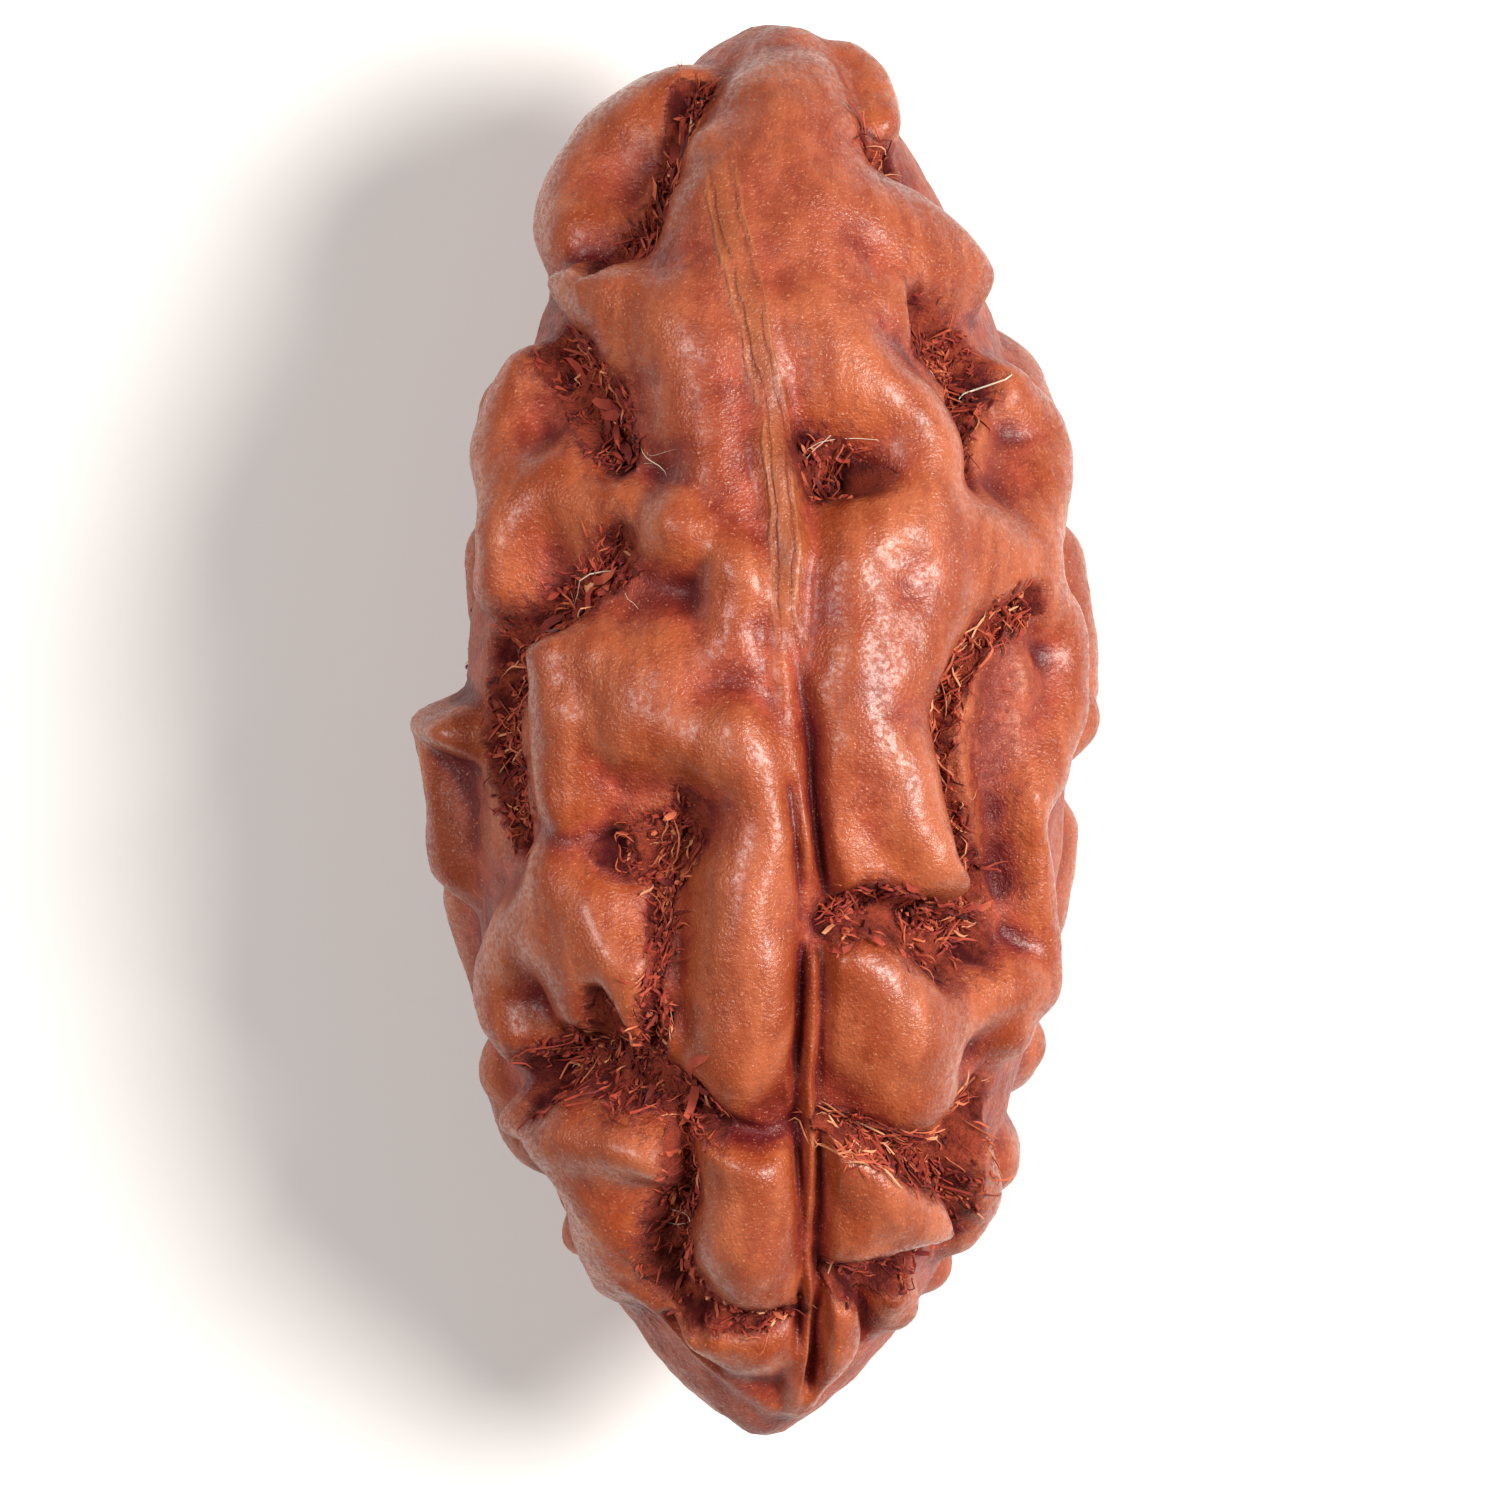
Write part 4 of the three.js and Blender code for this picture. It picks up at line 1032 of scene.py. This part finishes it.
def seam_marks(r, at):
    """Shares of the pale lines, the furrows, the brown strip and the dull strip at the seam."""
    wobble = r.noise(r.stretch(at, WOBBLE_STRETCH), 0.9, 3)
    offset = r.number("seam_offset") + 0.8 * (wobble - 0.5)
    shown = r.number("seam_shown") * r.between(wobble, 0.25, 0.5)
    lines = (r.near(offset, -0.45, 0.14) + r.near(offset, 0.55, 0.11)) * shown
    furrows = (r.near(offset, -0.22, 0.11) + r.near(offset, 0.36, 0.09)) * shown
    brown = r.near(offset, SEAM_MIDDLE, 0.9) * shown
    dull = r.near(offset, SEAM_MIDDLE, 1.1) * shown
    return lines, furrows, brown, dull


# %% Finish: the husk under the shreds
def husk_colour_and_shade(r, height, crumbs):
    """Dark red husk with paler crumbs, with painted shade that turns it nearly black where it lies
    deepest.
    """
    raised = r.between(r.number("crumb") + 0.9 * (crumbs - 0.5), 0.25, 0.85)
    husk = r.mix(raised, paint("5c0c0c"), paint("b24a32"))
    # painted shade: the husk turns nearly black where it lies deepest
    return r.mix(r.between(height, -0.50, -0.05, 0.9, 0.0), husk, paint("240606"))


# %% Finish: polished shell
def polished_shell():
    r = Recipe("polished_shell")
    at = r.place()
    height = r.number("height")
    crest = r.number("crest")
    blotches = r.noise(at, 1.6, 5, 0.65)
    grain = r.noise(at, 0.34, 4, 0.7)
    skin = r.noise(at, 0.13, 2, 0.6)
    specks = r.noise(at, 0.10, 1, 0.5)
    crumbs = r.noise(at, 0.36, 5, 0.75)
    colour = skin_colour_and_sheen(r, at, height, crest, blotches, grain, skin)

    # along the seam
    lines, furrows, brown, dull = seam_marks(r, at)
    colour = r.mix(brown * 0.4, colour, paint("85502e"))
    colour = r.mix(lines * 0.20, colour, paint("b98a5e"))
    colour = r.mix(furrows * 0.38, colour, paint("5a2016"))

    # stained rims with painted shade, and painted shade in hollows and folds
    # dark red stain round the pits, laid together with painted shade that falls towards them
    stain_and_shade_rim = r.number("margin") + 0.9 * (grain - 0.5) + 0.5 * (blotches - 0.5)
    stain_and_shade_rim = r.between(stain_and_shade_rim, 0.25, 0.80)
    colour = r.mix(stain_and_shade_rim * 0.80, colour, paint("6c1f1d"))
    # painted shade: places lower than their wide surroundings are darkened
    painted_hollow_shade = r.between(crest + 0.25 * (blotches - 0.5), 0.22, 0.46, 1.0, 0.0)
    colour = r.mix(painted_hollow_shade * 0.72, colour, paint("641a15"))
    # painted shade: the narrow folds between lobes are darkened
    fold = r.between(r.number("fold") + 0.3 * (grain - 0.5), 0.12, 0.42, 1.0, 0.0)
    colour = r.mix(fold * 0.85, colour, paint("5a1417"))

    # husk in the pits, and pale specks painted as glints on the rest
    in_pit = r.number("pit") + 0.3 * (grain - 0.5) + 0.4 * (blotches - 0.5)
    in_pit = r.between(in_pit, 0.20, 0.60)
    colour = r.mix(in_pit, colour, husk_colour_and_shade(r, height, crumbs))
    # painted glints: tiny pale specks stand in for sparkles of light
    painted_glints = r.between(specks, 0.66, 0.75) * (1 - in_pit) * 0.4
    colour = r.mix(painted_glints, colour, paint("e2a07a"))

    # gloss on the crests, broken into grains, and none at the seam or in the pits
    shine = r.between(height + 0.25 * (blotches - 0.5), 0.40, 0.95) * (1 - in_pit) * (1 - stain_and_shade_rim)
    shine = shine * (1 - 0.6 * dull)
    grit = r.noise(at, 0.19, 2, 0.6)
    glints = r.between(grit + 0.4 * (r.pebbles(at, 0.24) - 0.4), 0.38, 0.62)
    rough = 0.50 - 0.14 * shine - 0.16 * glints + in_pit * 0.4

    normal = r.bump(skin, 0.05)
    normal = r.bump(specks, 0.02, normal=normal)
    normal = r.bump(lines - furrows, 0.04, normal=normal)
    normal = r.bump(crumbs * (in_pit * 0.8 + 0.15 * stain_and_shade_rim), 0.60, normal=normal)
    return r.finish(
        Base_Color=colour,
        Roughness=rough,
        Coat_Weight=shine * (0.06 + 0.58 * glints),
        Normal=normal,
        Coat_Roughness=0.27,
        Coat_IOR=1.42,
        Specular_IOR_Level=0.3,
    )


shell.data.materials.clear()
shell.data.materials.append(polished_shell())
print("the polished shell's finish has", len(shell.active_material.node_tree.nodes), "nodes")

# %% [markdown]
# ## The shreds
# Shreds are dry, so they have no gloss. Their tone, kept on each blade, picks a colour between
# the near black of the oldest husk and pale straw, and it brightens towards the tip. Only the
# long hairs have a tone beyond the end of that range, and they are bleached nearly white.

# %% Finish: husk shreds
HUSK_TONES = {"stops": [
    (0.0, paint("340709")), (0.35, paint("6e1812")), (0.65, paint("a23a26")),
    (0.88, paint("c66843")), (1.0, paint("dc9a70")),
]}


def husk_shreds():
    r = Recipe("husk_shreds")
    tone = r.number("tone")
    fleck = r.noise(r.place(), 0.3, 3)
    shade = tone * 0.8 + 0.3 * (fleck - 0.5) + 0.16 * r.number("tip")
    colour = r.add("ShaderNodeValToRGB", HUSK_TONES, {"Fac": shade})
    colour = r.mix(r.between(tone, 1.55, 1.65), colour, paint("cfc0aa"))
    return r.finish(
        Base_Color=colour, Roughness=0.62 + 0.3 * fleck, Normal=r.bump(fleck, 0.03, 0.6)
    )


husk_finish = husk_shreds()
for piece in (crumbs, fibres):
    piece.data.materials.append(husk_finish)
print("the shreds' finish has", len(husk_finish.node_tree.nodes), "nodes")

# %% [markdown]
# ## Floor and light
# A plain pale table, a soft lamp on the right, low enough to model every lobe, and a weaker one
# on the left that fills the shadows. The lamps are small enough for the crests to keep crisp
# highlights. The table lies a hair below the nut, so that the two never share a plane.

# %% Floor
FLOOR_SIZE = 3.0
FLOOR_GAP = 0.02 * MM

bpy.ops.object.select_all(action="DESELECT")
bpy.ops.mesh.primitive_plane_add(size=FLOOR_SIZE, location=(0, 0, -FLOOR_GAP))
floor = bpy.context.object
floor.name = "floor"


def pale_table():
    r = Recipe("pale_table")
    haze = r.noise(r.place(), 60, 2)
    return r.finish(Base_Color=r.mix(haze, paint("f2f2f2"), paint("f7f6f5")), Roughness=0.7)


floor.data.materials.append(pale_table())
print("floor", FLOOR_SIZE, "m wide")


# %% Lamps
WARM_WHITE = (1.0, 0.95, 0.89)
MILD_WHITE = (1.0, 0.95, 0.91)
ROOM_LIGHT = 0.12


def soft_lamp(name, place, size, power, colour):
    """A round lamp that is aimed at the middle of the nut."""
    data = bpy.data.lights.new(name, "AREA")
    data.shape = "DISK"
    data.size = size
    data.energy = power
    data.color = colour
    lamp = bpy.data.objects.new(name, data)
    bpy.context.scene.collection.objects.link(lamp)
    lamp.location = place
    aim = Vector((0, 0, NUT_AXIS)) - Vector(place)
    lamp.rotation_euler = aim.to_track_quat("-Z", "Y").to_euler()
    print(name, round(aim.length, 3), "m from the nut")


soft_lamp("key_lamp", (0.165, 0.015, 0.21), 0.13, 1.09, WARM_WHITE)
soft_lamp("fill_lamp", (-0.14, 0.03, 0.24), 0.10, 0.40, MILD_WHITE)
world = bpy.data.worlds.new("studio")
world.use_nodes = True
background = world.node_tree.nodes["Background"]
background.inputs["Color"].default_value = (1, 1, 1, 1)
background.inputs["Strength"].default_value = ROOM_LIGHT
bpy.context.scene.world = world
bpy.context.scene.view_settings.view_transform = "Standard"

# %% [markdown]
# ## Handing over
# Each piece rides on the nut's body and takes the place of the coarse CAD solid.

# %% Riding, replacing
pieces = ((shell, "polished_shell"), (crumbs, "pit_fibre"), (fibres, "pit_fibre"))
for piece, finish in pieces:
    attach(piece, "root")
    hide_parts("walnut_shell")
